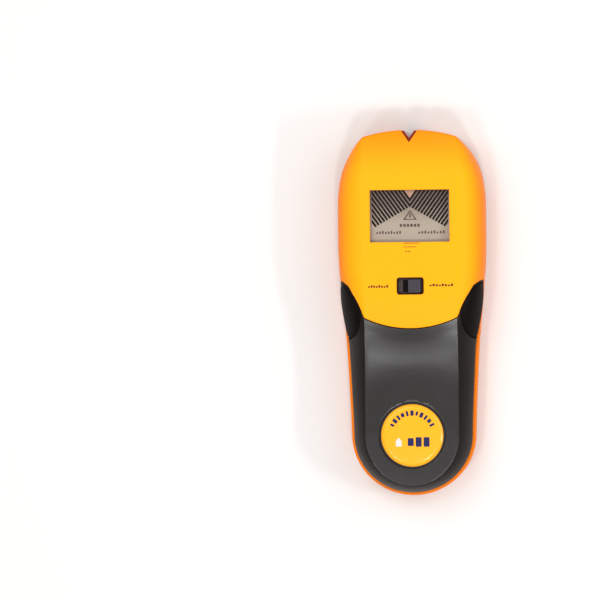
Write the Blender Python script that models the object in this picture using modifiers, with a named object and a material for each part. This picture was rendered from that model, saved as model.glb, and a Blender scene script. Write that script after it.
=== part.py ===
"""Hand-held stud finder, lying on its back with the display up.

Frame: +Z up, sensing back at Z = 0, marking notch at +Y, handle at -Y, width along X.
Lengths below are millimetres; every mesh is written in metres.
"""
import math

import bmesh
import bpy
import numpy as np
from mathutils import Matrix, Vector

MM = 0.001
SHARP_ANGLE = math.radians(30.0)
FAR_OUT = 60.0

# The drawing's zero lies a little off mid-length, and its Z = 0 is the back of the case. This puts the
# frame's origin at mid-length and the glide pads, which stand proud of the back, on Z = 0.
CENTRE_SHIFT = 1.0
PAD_PROUD = 0.4

# Outline of the case.
NOTCH_END_Y = 87.0
TOP_ARC_R = 77.5
TOP_CORNER_X = 22.3
TOP_CORNER_Y = 83.8
END_CENTRE_Y = -59.7
END_R_X = 29.9
END_R_Y = 29.2
FLANK_WIDTHS = [(83.8, 22.3), (77.1, 28.3), (69.7, 32.4), (60.9, 34.7), (48.5, 35.5), (35.0, 35.5),
                (22.7, 35.2), (13.9, 34.5), (0.0, 33.4), (-13.4, 32.1), (-33.0, 31.0),
                (-57.0, 29.95), (-59.7, 29.9)]
PANEL_HALF = 22.5
PANEL_END_R_X = 22.7
PANEL_END_R_Y = 24.4
EDGE_ROLL = 1.2
CORNER_SLANT = 0.6
CORNER_LENGTH = 6.0

# Heights along the centre line.
TOP_HEIGHTS = [(88.0, 30.4), (84.0, 31.5), (78.0, 32.4), (70.0, 32.9), (60.0, 33.0), (10.0, 33.0),
               (2.2, 32.8), (-8.4, 31.4), (-16.0, 29.9), (-26.0, 28.4), (-38.0, 27.6),
               (-50.0, 27.8), (-60.0, 28.0), (-72.0, 27.7), (-84.1, 26.6), (-89.0, 26.2)]
SPLIT_Z = 15.0
SEAM = 0.3
SHOULDER_Z = 18.0
RIM_STEP = 1.4
RIM_START_Y = 7.0
RIM_FULL_Y = -20.0
FLOOR = 2.2
WALL = 2.0
BACK_EDGE_R = 2.2
BACK_DRAFT = 0.15
NARROW_MARGIN = 8.0
NARROW_BLEND = 6.0
NARROW_SIDE = 0.6

# Seam between the yellow head and the black handle, seen from above.
SEAM_ARC = [(0.0, -8.4), (8.0, -7.8), (15.5, -6.0), (22.4, -3.2)]
SEAM_FLANK = [(24.0, 0.5), (27.0, 6.7), (30.0, 12.0), (33.0, 14.2), (40.0, 17.0)]

# Side ovals: outline seen from the side, as half height above SPLIT_Z against Y.
OVAL_INNER_X = [(-13.4, 30.6), (-12.0, 28.2), (-10.6, 26.8), (-7.0, 25.3), (-3.0, 24.7), (0.5, 24.7),
                (4.0, 26.0), (6.7, 27.6), (9.5, 29.4), (12.0, 31.6), (13.4, 33.6)]
OVAL_GAP = 0.35
OVAL_BULGE = 0.7
OVAL_DEPTH = 2.4
OVAL_ROOT_X = 20.0
STEM_TIP_X = -22.9
STEM_LENGTH = 8.3
STEM_Y = -2.0
STEM_Z = 19.0
STEM_R = 1.6
STEM_GAP = 0.15

# Switch behind the left oval.
KEY_TRAVEL = 0.8
TACT_FACE_X = -20.4
TACT_DEPTH = 4.0
TACT_HALF = 3.0
TACT_BORE_R = 1.8
TACT_BORE_DEPTH = 1.8
PLUNGER_R = 1.5
PLUNGER_LENGTH = 3.0

# Display.
FACE_Z = 33.0
WINDOW_X = 19.1
WINDOW_Y0 = 33.1
WINDOW_Y1 = 58.1
WINDOW_LIP = 2.2
WINDOW_TOP = FACE_Z - WALL - 0.3
WINDOW_THICK = 0.9
GLASS_TOP = WINDOW_TOP - 1.5
GLASS_THICK = 2.4
GLASS_HALF_X = 19.8
GLASS_Y0 = WINDOW_Y0 - 0.8
GLASS_Y1 = WINDOW_Y1 + 1.4
FRAME_WALL = 2.3

# Mode switch.
SLOT_HALF_X = 6.5
SLOT_HALF_Y = 4.1
SLOT_Y = 12.0
SLOT_R = 1.3
KNOB_X = 1.95
KNOB_HALF_X = 3.0
KNOB_HALF_Y = 3.2
KNOB_TOP = 32.6
KNOB_PLATE_Z = 29.0
KNOB_STEM_Z = 26.4
KNOB_STEM_HALF_X = 1.2
KNOB_STEM_HALF_Y = 1.1
SWITCH_TOP = 28.6

# Marking notch.
NOTCH_HALF = 4.2
NOTCH_TIP_Y = 80.9
NOTCH_TOP_Y = 87.0
LENS_WALL = 1.15
LENS_GAP = 0.35
LENS_SET_BACK = 0.4
LENS_Z0 = 1.2
LENS_Z1 = 29.8

# Badge.
BADGE_Y = -59.8
BADGE_R = 15.0
BADGE_WELL_R = 15.8
BADGE_WELL_Z = 26.6
BADGE_RISE = 0.9

# Battery, its door and its contacts.
BATTERY_HALF_X = 13.25
BATTERY_Y0 = -77.0
BATTERY_LENGTH = 48.5
BATTERY_THICK = 17.5
BATTERY_Z0 = 2.2
DOOR_HALF_X = 14.6
DOOR_HINGE_Y = -20.6
DOOR_END_Y = -79.2
DOOR_THICK = 1.8
DOOR_GAP = 0.4
HINGE_Z = 1.6
HINGE_R = 1.5
PIN_R = 0.8
PIN_REACH = 2.2
PIN_CLEAR = 0.05
RIB_INNER_X = 15.35
RIB_OUTER_X = 17.2
RIB_TOP_Z = 13.0
CONTACT_X = 6.35
CONTACT_Z = BATTERY_Z0 + BATTERY_THICK / 2

# Boards.
BOARD_THICK = 1.6
LEAD_R = 0.65
MAIN_Z = 22.4
SENSE_Z = 3.4
UNDER_MAIN = MAIN_Z - 0.2
OVER_MAIN = MAIN_Z + BOARD_THICK
MAIN_OUTLINE = [(-23.8, 4.0), (-21.4, -6.5), (21.4, -6.5), (23.8, 4.0), (23.8, 64.0), (-23.8, 64.0)]
SENSE_OUTLINE = [(-24.0, 30.0), (24.0, 30.0), (24.0, 73.0), (-24.0, 73.0)]
BOARD_HOLE_X = 21.5
BOARD_HOLE_R = 1.3
PLATE_Y0 = 38.0
PLATE_Y1 = 70.0

# Fixings.
SCREWS = [(28.0, 24.0), (-28.0, 24.0), (20.4, -67.0), (-20.4, -67.0)]
BOSS_R = 3.3
BOSS_SKIN = 0.7
SCREW_HOLE_R = 1.75
SCREW_R = 1.4
SCREW_HEAD_R = 2.7
HEAD_WELL_R = 3.1
HEAD_WELL_Z = 2.6
SCREW_TOP_Z = 21.0
PAD_R = 4.0
PAD_WELL_R = 4.3
PAD_WELL_DEPTH = 0.6
PAD_TOP_Z = 0.5
PADS = [(24.0, 66.0), (-24.0, 66.0), (25.0, -8.0), (-25.0, -8.0)]


# ---------------------------------------------------------------- scene set-up

def clear_scene():
    for obj in list(bpy.data.objects):
        bpy.data.objects.remove(obj, do_unlink=True)
    for mesh in list(bpy.data.meshes):
        bpy.data.meshes.remove(mesh)


def new_collection(name):
    collection = bpy.data.collections.new(name)
    bpy.context.scene.collection.children.link(collection)
    return collection


clear_scene()
PARTS = new_collection("stud_finder")
CUTTERS = new_collection("cutters")


def paint(obj, colour, roughness, metallic=0.0, alpha=1.0):
    material = bpy.data.materials.new(obj.name)
    material.use_nodes = True
    shader = material.node_tree.nodes["Principled BSDF"]
    shader.inputs["Base Color"].default_value = (*colour, 1.0)
    shader.inputs["Roughness"].default_value = roughness
    shader.inputs["Metallic"].default_value = metallic
    shader.inputs["Alpha"].default_value = alpha
    obj.data.materials.clear()
    obj.data.materials.append(material)


def adopt(obj, collection):
    """Links an object; one among the cutters stays out of the render."""
    collection.objects.link(obj)
    if collection is CUTTERS:
        obj.hide_render = True
        obj.display_type = "WIRE"
    return obj


def mesh_object(name, points, faces, collection=PARTS):
    """A mesh object from millimetre points, for the lofted forms."""
    mesh = bpy.data.meshes.new(name)
    mesh.from_pydata([(x * MM, y * MM, z * MM) for x, y, z in points], [], faces)
    mesh.update()
    return adopt(bpy.data.objects.new(name, mesh), collection)


def smooth_shade(mesh):
    """Smooth shading with the creases kept."""
    mesh.shade_smooth()
    mesh.set_sharp_from_angle(angle=SHARP_ANGLE)


def tidy_mesh(obj):
    """Welds doubled points and turns every face outward."""
    work = bmesh.new()
    work.from_mesh(obj.data)
    bmesh.ops.remove_doubles(work, verts=work.verts, dist=0.00002)
    bmesh.ops.recalc_face_normals(work, faces=work.faces)
    if work.calc_volume(signed=True) < 0.0:
        bmesh.ops.reverse_faces(work, faces=work.faces)
    work.to_mesh(obj.data)
    work.free()
    smooth_shade(obj.data)


def boolean(obj, cutter, operation="DIFFERENCE"):
    modifier = obj.modifiers.new(operation.lower(), "BOOLEAN")
    modifier.operation = operation
    modifier.solver = "EXACT"
    modifier.object = cutter
    return modifier


def bevel(obj, width, segments=2, angle=30.0):
    modifier = obj.modifiers.new("bevel", "BEVEL")
    modifier.width = width * MM
    modifier.segments = segments
    modifier.limit_method = "ANGLE"
    modifier.angle_limit = math.radians(angle)
    return modifier


def primitive(name, work, collection):
    """Turns a bmesh primitive into an object."""
    mesh = bpy.data.meshes.new(name)
    work.to_mesh(mesh)
    work.free()
    smooth_shade(mesh)
    return adopt(bpy.data.objects.new(name, mesh), collection)


def box(name, low, high, collection=PARTS):
    work = bmesh.new()
    bmesh.ops.create_cube(work, size=1.0)
    size = Vector([(b - a) * MM for a, b in zip(low, high)])
    middle = Vector([(a + b) / 2 * MM for a, b in zip(low, high)])
    bmesh.ops.scale(work, vec=size, verts=work.verts)
    bmesh.ops.translate(work, vec=middle, verts=work.verts)
    return primitive(name, work, collection)


AXIS_TURN = {
    "Z": Matrix.Identity(4),
    "Y": Matrix.Rotation(-math.pi / 2, 4, "X"),
    "X": Matrix.Rotation(math.pi / 2, 4, "Y"),
}


def rod(name, start, radius, length, axis="Z", sides=20, collection=PARTS):
    """A round bar from start along an axis."""
    work = bmesh.new()
    bmesh.ops.create_cone(work, cap_ends=True, segments=sides, radius1=radius * MM,
                          radius2=radius * MM, depth=abs(length) * MM)
    bmesh.ops.translate(work, vec=Vector((0.0, 0.0, length / 2 * MM)), verts=work.verts)
    bmesh.ops.transform(work, matrix=AXIS_TURN[axis], verts=work.verts)
    bmesh.ops.translate(work, vec=Vector(start) * MM, verts=work.verts)
    return primitive(name, work, collection)


def flat_solid(name, outline, low, high, turn, collection):
    """A filled 2D outline extruded between two levels, then turned into place."""
    curve = bpy.data.curves.new(name + "_curve", "CURVE")
    curve.dimensions = "2D"
    curve.fill_mode = "BOTH"
    curve.extrude = (high - low) / 2 * MM
    spline = curve.splines.new("POLY")
    spline.points.add(len(outline) - 1)
    for point, (u, v) in zip(spline.points, outline):
        point.co = (u * MM, v * MM, 0.0, 1.0)
    spline.use_cyclic_u = True
    source = bpy.data.objects.new(name + "_curve", curve)
    bpy.context.scene.collection.objects.link(source)
    bpy.context.view_layer.update()
    graph = bpy.context.evaluated_depsgraph_get()
    mesh = bpy.data.meshes.new_from_object(source.evaluated_get(graph))
    bpy.data.objects.remove(source, do_unlink=True)
    mesh.transform(turn @ Matrix.Translation((0.0, 0.0, (low + high) / 2 * MM)))
    obj = adopt(bpy.data.objects.new(name, mesh), collection)
    tidy_mesh(obj)
    return obj


def prism(name, outline, z0, z1, collection=PARTS):
    """A straight prism over a closed outline in X and Y."""
    return flat_solid(name, outline, z0, z1, Matrix.Identity(4), collection)


def side_prism(name, outline, x0, x1, collection=PARTS):
    """A straight prism along X over a closed outline in Y and Z."""
    turn = Matrix(((0.0, 0.0, 1.0, 0.0), (1.0, 0.0, 0.0, 0.0), (0.0, 1.0, 0.0, 0.0), (0.0, 0.0, 0.0, 1.0)))
    return flat_solid(name, outline, min(x0, x1), max(x0, x1), turn, collection)


def lathe(name, profile, centre, steps=32, axis="Z"):
    """A round solid from a profile of (radius, height) running from top to bottom."""
    points = [(r, 0.0, h) for r, h in profile]
    edges = [(i, i + 1) for i in range(len(profile) - 1)]
    mesh = bpy.data.meshes.new(name)
    mesh.from_pydata([(x * MM, y * MM, z * MM) for x, y, z in points], edges, [])
    obj = bpy.data.objects.new(name, mesh)
    PARTS.objects.link(obj)
    screw = obj.modifiers.new("screw", "SCREW")
    screw.steps = steps
    screw.render_steps = steps
    screw.use_merge_vertices = True
    screw.merge_threshold = 0.00001
    obj.location = [c * MM for c in centre]
    if axis == "Y":
        obj.rotation_euler = (-math.pi / 2, 0.0, 0.0)
    bake(obj)
    smooth_shade(obj.data)
    return obj


def rounded_rectangle(half_x, half_y, radius, centre=(0.0, 0.0), steps=4):
    corners = [(1, 1, 0), (-1, 1, 90), (-1, -1, 180), (1, -1, 270)]
    outline = []
    for sx, sy, start in corners:
        for k in range(steps + 1):
            angle = math.radians(start + 90 * k / steps)
            x = centre[0] + sx * (half_x - radius) + radius * math.cos(angle)
            y = centre[1] + sy * (half_y - radius) + radius * math.sin(angle)
            outline.append((x, y))
    return outline


# ---------------------------------------------------------------- form of the case

def smooth_value(table, at):
    """Smooth curve through a table of (position, value), in falling or rising order."""
    places = np.array([p for p, _ in table])
    values = np.array([v for _, v in table])
    if places[0] > places[-1]:
        places = places[::-1]
        values = values[::-1]
    steps = np.diff(values) / np.diff(places)
    slopes = np.concatenate([[steps[0]], (steps[:-1] + steps[1:]) / 2, [steps[-1]]])
    slopes[1:-1][steps[:-1] * steps[1:] <= 0] = 0.0
    at = float(np.clip(at, places[0], places[-1]))
    i = int(np.clip(np.searchsorted(places, at) - 1, 0, len(places) - 2))
    h = places[i + 1] - places[i]
    t = (at - places[i]) / h
    a = (1 + 2 * t) * (1 - t) ** 2 * values[i] + t * t * (3 - 2 * t) * values[i + 1]
    b = t * (1 - t) ** 2 * h * slopes[i] - t * t * (1 - t) * h * slopes[i + 1]
    return a + b


def flank_width(y):
    return smooth_value(FLANK_WIDTHS, y)


def top_height(x, y):
    """Height of the flat face; the handle's face is dished a little across its width."""
    dish = 0.5 * min(max((-y - 10.0) / 20.0, 0.0), 1.0)
    return smooth_value(TOP_HEIGHTS, y) + dish * ((x / PANEL_HALF) ** 2 - 1.0)


def roundness(y):
    """1 where the flank is a full curve, as on the head, falling to a straight facet on the handle."""
    return 0.3 + 0.55 * min(max((y + 14.0) / 34.0, 0.0), 1.0)


def rim_inset(y):
    """How far the upper shells stand inside the lower one."""
    t = min(max((RIM_START_Y - y) / (RIM_START_Y - RIM_FULL_Y), 0.0), 1.0)
    return RIM_STEP * t * t * (3 - 2 * t)


def stations(top_steps, flank_ys, end_steps):
    """Half outline as (outer point, panel point) pairs, from the notch end to the handle end."""
    found = []
    for k in range(top_steps + 1):
        x = TOP_CORNER_X * k / top_steps
        y = NOTCH_END_Y - TOP_ARC_R + math.sqrt(TOP_ARC_R ** 2 - x ** 2)
        lean = (k / top_steps) ** 6
        nx = math.sin(lean * math.pi / 4)
        ny = math.cos(lean * math.pi / 4)
        found.append(((x, y), (x - EDGE_ROLL * nx, y - EDGE_ROLL * ny)))
    for y in flank_ys:
        width = flank_width(y)
        edge = min(PANEL_HALF, width - EDGE_ROLL)
        slant = CORNER_SLANT * max(0.0, 1 - (TOP_CORNER_Y - y) / CORNER_LENGTH)
        found.append(((width, y), (edge, y - slant)))
    for k in range(1, end_steps + 1):
        angle = math.pi / 2 * k / end_steps
        c = math.cos(angle)
        s = math.sin(angle)
        found.append(((END_R_X * c, END_CENTRE_Y - END_R_Y * s),
                      (PANEL_END_R_X * c, END_CENTRE_Y - PANEL_END_R_Y * s)))
    return found


FLANK_STATIONS = [81.8, 79.5, 77.1, 73.5, 69.7, 65.5, 60.9, 55.0, 48.5, 41.5, 35.0, 28.5, 22.7, 18.0, 13.9,
                  9.5, 5.0, 0.0, -4.5, -9.0, -13.4, -18.0, -23.0, -28.0, -33.0, -39.0, -45.0, -51.0, -57.0]


CORNER_STATIONS = 2
SMALL_STEP = 0.04


def unfold(section, top_z):
    """Keeps an offset section running inward and upward, where its edge radius was used up."""
    kept = [section[0]]
    for d, z in section[1:]:
        limit = kept[-1][0] - (SMALL_STEP if len(kept) > 2 else 0.0)
        kept.append((min(d, limit), max(min(z, top_z), kept[-1][1])))
    kept[-1] = (kept[-1][0], top_z)
    return kept


def offset_section(section, distance):
    """Moves an open section of (outward, height) points towards its inner side."""
    moved = []
    for i, (d, z) in enumerate(section):
        before = section[max(i - 1, 0)]
        after = section[min(i + 1, len(section) - 1)]
        run = after[0] - before[0]
        rise = after[1] - before[1]
        size = math.hypot(run, rise) or 1.0
        moved.append((d - distance * rise / size, z + distance * run / size))
    return moved


def flank_section(outer, panel, inset, low_z, steps):
    """Section of the upper shells from low_z up and in to the panel edge, as (outward, z)."""
    reach = math.hypot(outer[0] - panel[0], outer[1] - panel[1]) - inset
    top = top_height(panel[0], panel[1])
    shoulder = min(SHOULDER_Z, top - EDGE_ROLL)
    curve = roundness(outer[1])
    # A narrow margin, as along the notch end, is a plain rolled edge.
    narrow = min(max((NARROW_MARGIN - reach) / NARROW_BLEND, 0.0), 1.0) if outer[1] > 0 else 0.0
    shoulder = shoulder + narrow * (top - EDGE_ROLL - NARROW_SIDE - shoulder)
    curve = curve + narrow * (1.0 - curve)
    section = [(reach, low_z), (reach, (low_z + shoulder) / 2), (reach, shoulder)]
    for k in range(1, steps + 1):
        t = k / steps
        angle = math.pi / 2 * t
        d = curve * reach * math.cos(angle) + (1 - curve) * reach * (1 - t)
        z = curve * math.sin(angle) + (1 - curve) * t
        section.append((d, shoulder + (top - shoulder) * z))
    return section


def cap_strip(points, centre_rows, edge_y):
    """Points from an edge point in to the centre line, in centre_rows steps."""
    x, y, z = points
    centre_y = min(max(y, edge_y[1]), edge_y[0])
    strip = []
    for k in range(1, centre_rows + 1):
        f = 1 - k / centre_rows
        strip.append((x * f, centre_y + (y - centre_y) * f, z))
    return strip


def half_solid(name, columns, centre_rows, crowned, collection):
    """Closed solid from the half sections of one side, mirrored.

    columns holds, per station, the points from the lower edge to the upper edge. Both caps run
    in to the centre line; a crowned top cap follows the height of the face.
    """
    low_ends = (columns[0][0][1], columns[-1][0][1])
    high_ends = (columns[0][-1][1], columns[-1][-1][1])
    grid = []
    for column in columns:
        low = cap_strip(column[0], centre_rows, low_ends)
        high = cap_strip(column[-1], centre_rows, high_ends)
        if crowned:
            drop = column[-1][2] - top_height(column[-1][0], column[-1][1])
            high = [(x, y, top_height(x, y) + drop) for x, y, z in high]
        grid.append(low[::-1] + list(column) + high)
    rows = len(grid[0])
    points = [point for column in grid for point in column]
    faces = []
    for i in range(len(grid) - 1):
        for j in range(rows - 1):
            a = i * rows + j
            faces.append((a, a + 1, a + rows + 1, a + rows))
    obj = mesh_object(name, points, faces, collection)
    mirror = obj.modifiers.new("mirror", "MIRROR")
    mirror.use_axis = (True, False, False)
    mirror.merge_threshold = 0.00001
    bake(obj)
    tidy_mesh(obj)
    return obj


def on_centre_line(columns):
    """Puts the first and last sections exactly on the mirror plane."""
    for column in (columns[0], columns[-1]):
        column[:] = [(0.0, y, z) for x, y, z in column]


def bake(obj):
    """Replaces the object's mesh by its evaluated one."""
    bpy.context.view_layer.update()
    graph = bpy.context.evaluated_depsgraph_get()
    mesh = bpy.data.meshes.new_from_object(obj.evaluated_get(graph))
    obj.modifiers.clear()
    obj.data = mesh


def place(station, section):
    """Turns a section of (outward, z) into points, measured out from the panel point."""
    outer, panel = station
    dx = outer[0] - panel[0]
    dy = outer[1] - panel[1]
    size = math.hypot(dx, dy)
    return [(panel[0] + dx / size * d, panel[1] + dy / size * d, z) for d, z in section]


def upper_form(name, inward, low_z, collection, steps=6):
    """Solid under the upper shells' skin, moved inward by a wall thickness."""
    columns = []
    # An inner skin turns the sharp corner in one step, so that its sections don't cross.
    flank = FLANK_STATIONS if inward <= 0 else FLANK_STATIONS[CORNER_STATIONS:]
    for station in stations(6, flank, 10):
        outer, panel = station
        section = flank_section(outer, panel, rim_inset(outer[1]), low_z, steps)
        if inward:
            section = unfold(offset_section(section, inward), top_height(*panel) - inward)
            section[0] = (section[1][0], low_z)
        columns.append(place(station, section))
    on_centre_line(columns)
    return half_solid(name, columns, 2, True, collection)


def lower_section(reach, inward, low_z, high_z):
    if inward:
        return [(reach - BACK_DRAFT - inward, low_z), (reach - BACK_DRAFT / 2 - inward, (low_z + high_z) / 2),
                (reach - inward, high_z)]
    r = BACK_EDGE_R
    foot = reach - BACK_DRAFT
    return [(foot - r, 0.0), (foot - 0.3 * r, 0.2 * r), (foot, r), (reach, high_z)]


def lower_form(name, inward, low_z, high_z, collection):
    columns = []
    for station in stations(6, FLANK_STATIONS, 10):
        outer, panel = station
        reach = math.hypot(outer[0] - panel[0], outer[1] - panel[1])
        columns.append(place(station, lower_section(reach, inward, low_z, high_z)))
    on_centre_line(columns)
    return half_solid(name, columns, 1, False, collection)


# ---------------------------------------------------------------- cutters

def head_region(name, shrink):
    """Plan region in front of the seam, moved forward by shrink."""
    right = [(x, y + shrink) for x, y in SEAM_ARC + SEAM_FLANK]
    left = [(-x, y) for x, y in right[1:]][::-1]
    outline = left + right + [(50.0, right[-1][1]), (50.0, 100.0), (-50.0, 100.0), (-50.0, right[-1][1])]
    return prism(name, outline, -5.0, FAR_OUT, CUTTERS)


def handle_region(name, shrink):
    right = [(x, y - shrink) for x, y in SEAM_ARC + SEAM_FLANK]
    left = [(-x, y) for x, y in right[1:]][::-1]
    outline = left + right + [(50.0, right[-1][1]), (50.0, -100.0), (-50.0, -100.0), (-50.0, right[-1][1])]
    return prism(name, outline, -5.0, FAR_OUT, CUTTERS)


def flank_height(x, y):
    """Height of the upper skin above a plan point on the flank."""
    width = flank_width(y)
    panel = (min(PANEL_HALF, width - EDGE_ROLL), y)
    section = flank_section((width, y), panel, rim_inset(y), SPLIT_Z, 24)
    reach = x - panel[0]
    for (d0, z0), (d1, z1) in zip(section[2:], section[3:]):
        if d1 <= reach <= d0:
            return z0 + (z1 - z0) * (d0 - reach) / max(d0 - d1, 1e-6)
    return section[2][1]


def oval_outline(margin):
    """Side oval in Y and Z, grown by margin; it is open downwards to the split."""
    upper = [(y, flank_height(x, y)) for y, x in OVAL_INNER_X]
    grown = []
    for i, (y, z) in enumerate(upper):
        before = upper[max(i - 1, 0)]
        after = upper[min(i + 1, len(upper) - 1)]
        dy = after[0] - before[0]
        dz = after[1] - before[1]
        size = math.hypot(dy, dz)
        grown.append((y - margin * dz / size, z + margin * dy / size))
    end_z = SPLIT_Z + 2.6 - margin
    ends = [(grown[-1][0] + 0.6 * margin, end_z), (grown[0][0] - 0.6 * margin, end_z)]
    low = SPLIT_Z + 1.1 - margin
    flat = [(9.5, low), (-9.5, low)]
    return grown + [ends[0]] + flat + [ends[1]]


def notch_outline(half, tip, back=2.0):
    slope = (NOTCH_TOP_Y - tip) / half
    return [(0.0, tip), (half + back / slope, NOTCH_TOP_Y + back), (-half - back / slope, NOTCH_TOP_Y + back)]


def cut_notch(obj):
    boolean(obj, NOTCH)


def boss(name, x, y, z0, z1):
    return rod(name, (x, y, z0), BOSS_R, z1 - z0, sides=20, collection=CUTTERS)


# ---------------------------------------------------------------- shells

NOTCH = prism("notch_cut", notch_outline(NOTCH_HALF, NOTCH_TIP_Y), -5.0, FAR_OUT, CUTTERS)
OVAL_CUTS = {}
for side_name, sign in (("right", 1.0), ("left", -1.0)):
    root = OVAL_ROOT_X - 2 * KEY_TRAVEL
    OVAL_CUTS[side_name] = side_prism("oval_cut_" + side_name, oval_outline(OVAL_GAP), sign * root,
                                      sign * FAR_OUT, CUTTERS)


def upper_shell(name, region):
    shell = upper_form(name, 0.0, SPLIT_Z + SEAM, PARTS)
    hollow = upper_form(name + "_hollow", WALL, SPLIT_Z - 2.0, CUTTERS)
    boolean(shell, hollow)
    boolean(shell, region, "INTERSECT")
    for cut in OVAL_CUTS.values():
        boolean(shell, cut)
    return shell


def add_upper_bosses(shell, chosen):
    for k, (x, y) in enumerate(chosen):
        top = flank_height(abs(x) + BOSS_R, y - BOSS_R) - BOSS_SKIN
        boolean(shell, boss(f"{shell.name}_boss_{k}", x, y, SPLIT_Z + SEAM, top), "UNION")
        boolean(shell, rod(f"{shell.name}_bore_{k}", (x, y, SPLIT_Z - 1.0), SCREW_HOLE_R,
                           SCREW_TOP_Z + 0.6 - SPLIT_Z + 1.0, sides=16, collection=CUTTERS))


def build_front_housing():
    shell = upper_shell("front_housing", head_region("head_region", SEAM / 2))
    add_upper_bosses(shell, SCREWS[:2])
    cut_notch(shell)
    opening = box("window_cut", (-WINDOW_X, WINDOW_Y0, 20.0), (WINDOW_X, WINDOW_Y1, FAR_OUT), CUTTERS)
    boolean(shell, opening)
    slot = rounded_rectangle(SLOT_HALF_X, SLOT_HALF_Y, SLOT_R, (0.0, SLOT_Y))
    boolean(shell, prism("slot_cut", slot, 20.0, FAR_OUT, CUTTERS))
    paint(shell, (0.95, 0.52, 0.02), 0.35)


def build_handle_cover():
    shell = upper_shell("handle_cover", handle_region("handle_region", SEAM / 2))
    add_upper_bosses(shell, SCREWS[2:])
    seat = rod("badge_seat", (0.0, BADGE_Y, BADGE_WELL_Z - 1.9), BADGE_WELL_R + 1.6, 2.4, sides=48,
               collection=CUTTERS)
    boolean(shell, seat, "UNION")
    well = rod("badge_well", (0.0, BADGE_Y, BADGE_WELL_Z), BADGE_WELL_R, 10.0, sides=48,
               collection=CUTTERS)
    boolean(shell, well)
    paint(shell, (0.03, 0.028, 0.028), 0.5)


def build_back_housing():
    shell = lower_form("back_housing", 0.0, 0.0, SPLIT_Z, PARTS)
    boolean(shell, lower_form("back_hollow", WALL, FLOOR, SPLIT_Z + 2.0, CUTTERS))
    for sign in (1.0, -1.0):
        low_x, high_x = sorted((sign * RIB_INNER_X, sign * RIB_OUTER_X))
        boolean(shell, box(f"rib_{low_x:.0f}", (low_x, DOOR_END_Y - 1.3, FLOOR - 1.0),
                           (high_x, DOOR_HINGE_Y + 4.0, RIB_TOP_Z), CUTTERS), "UNION")
    boolean(shell, box("cross_wall", (-RIB_OUTER_X + 0.5, DOOR_HINGE_Y + 2.2, FLOOR - 1.0),
                       (RIB_OUTER_X - 0.5, DOOR_HINGE_Y + 3.8, RIB_TOP_Z - 3.0), CUTTERS), "UNION")
    for k, (x, y) in enumerate(SCREWS):
        boolean(shell, boss(f"back_boss_{k}", x, y, FLOOR - 1.0, SPLIT_Z), "UNION")
    for k, (x, y) in enumerate(SCREWS):
        boolean(shell, rod(f"back_bore_{k}", (x, y, -2.0), SCREW_HOLE_R, SPLIT_Z + 4.0, sides=16,
                           collection=CUTTERS))
        boolean(shell, rod(f"head_well_{k}", (x, y, -2.0), HEAD_WELL_R, HEAD_WELL_Z + 2.0, sides=20,
                           collection=CUTTERS))
    for k, (x, y) in enumerate(PADS):
        boolean(shell, rod(f"pad_well_{k}", (x, y, -2.0), PAD_WELL_R, PAD_WELL_DEPTH + 2.0, sides=24,
                           collection=CUTTERS))
    boolean(shell, box("door_opening", (-DOOR_HALF_X - DOOR_GAP, DOOR_END_Y - DOOR_GAP, -2.0),
                       (DOOR_HALF_X + DOOR_GAP, DOOR_HINGE_Y + HINGE_R + DOOR_GAP, FLOOR + 1.0), CUTTERS))
    boolean(shell, rod("hinge_bore", (-RIB_OUTER_X - 0.5, DOOR_HINGE_Y, HINGE_Z), PIN_R + PIN_CLEAR,
                       2 * RIB_OUTER_X + 1.0, "X", 20, CUTTERS))
    catch = box("door_catch_slot", (-4.6, DOOR_END_Y - 2.6, -2.0), (4.6, DOOR_END_Y + 0.5, 1.1), CUTTERS)
    boolean(shell, catch)
    cut_notch(shell)
    paint(shell, (0.95, 0.48, 0.02), 0.38)


def build_marker_lens():
    """V-shaped red light guide that lines the notch."""
    slope = NOTCH_HALF / (NOTCH_TOP_Y - NOTCH_TIP_Y)
    end_y = NOTCH_TOP_Y - LENS_SET_BACK
    outer = slope * (end_y - NOTCH_TIP_Y) - LENS_GAP
    inner = outer - LENS_WALL
    outer_tip = NOTCH_TIP_Y + LENS_GAP / slope
    inner_tip = outer_tip + LENS_WALL / slope
    outline = [(0.0, outer_tip), (outer, end_y), (inner, end_y), (0.0, inner_tip), (-inner, end_y),
               (-outer, end_y)]
    lens = prism("marker_lens", outline, LENS_Z0, LENS_Z1)
    paint(lens, (0.35, 0.01, 0.01), 0.12)


# ---------------------------------------------------------------- display and switch

def build_display():
    window = box("display_window", (-WINDOW_X - WINDOW_LIP, WINDOW_Y0 - WINDOW_LIP, WINDOW_TOP - WINDOW_THICK),
                 (WINDOW_X + WINDOW_LIP, WINDOW_Y1 + WINDOW_LIP, WINDOW_TOP))
    paint(window, (0.85, 0.88, 0.88), 0.08, alpha=0.35)
    glass = box("lcd_panel", (-GLASS_HALF_X, GLASS_Y0, GLASS_TOP - GLASS_THICK), (GLASS_HALF_X, GLASS_Y1, GLASS_TOP))
    paint(glass, (0.33, 0.30, 0.25), 0.3)
    gap = 0.3
    frame = box("lcd_frame", (-GLASS_HALF_X - gap - FRAME_WALL, GLASS_Y0 - gap - FRAME_WALL, OVER_MAIN + gap),
                (GLASS_HALF_X + gap + FRAME_WALL, GLASS_Y1 + gap + FRAME_WALL, WINDOW_TOP - WINDOW_THICK - gap))
    inner = box("lcd_frame_cut", (-GLASS_HALF_X - gap, GLASS_Y0 - gap, 20.0),
                (GLASS_HALF_X + gap, GLASS_Y1 + gap, FAR_OUT), CUTTERS)
    boolean(frame, inner)
    paint(frame, (0.75, 0.75, 0.73), 0.45)
    strip = box("contact_strip", (-18.0, WINDOW_Y0 - 0.4, OVER_MAIN + 0.2),
                (18.0, WINDOW_Y0 + 1.6, GLASS_TOP - GLASS_THICK - 0.2))
    paint(strip, (0.5, 0.12, 0.2), 0.6)


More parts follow.
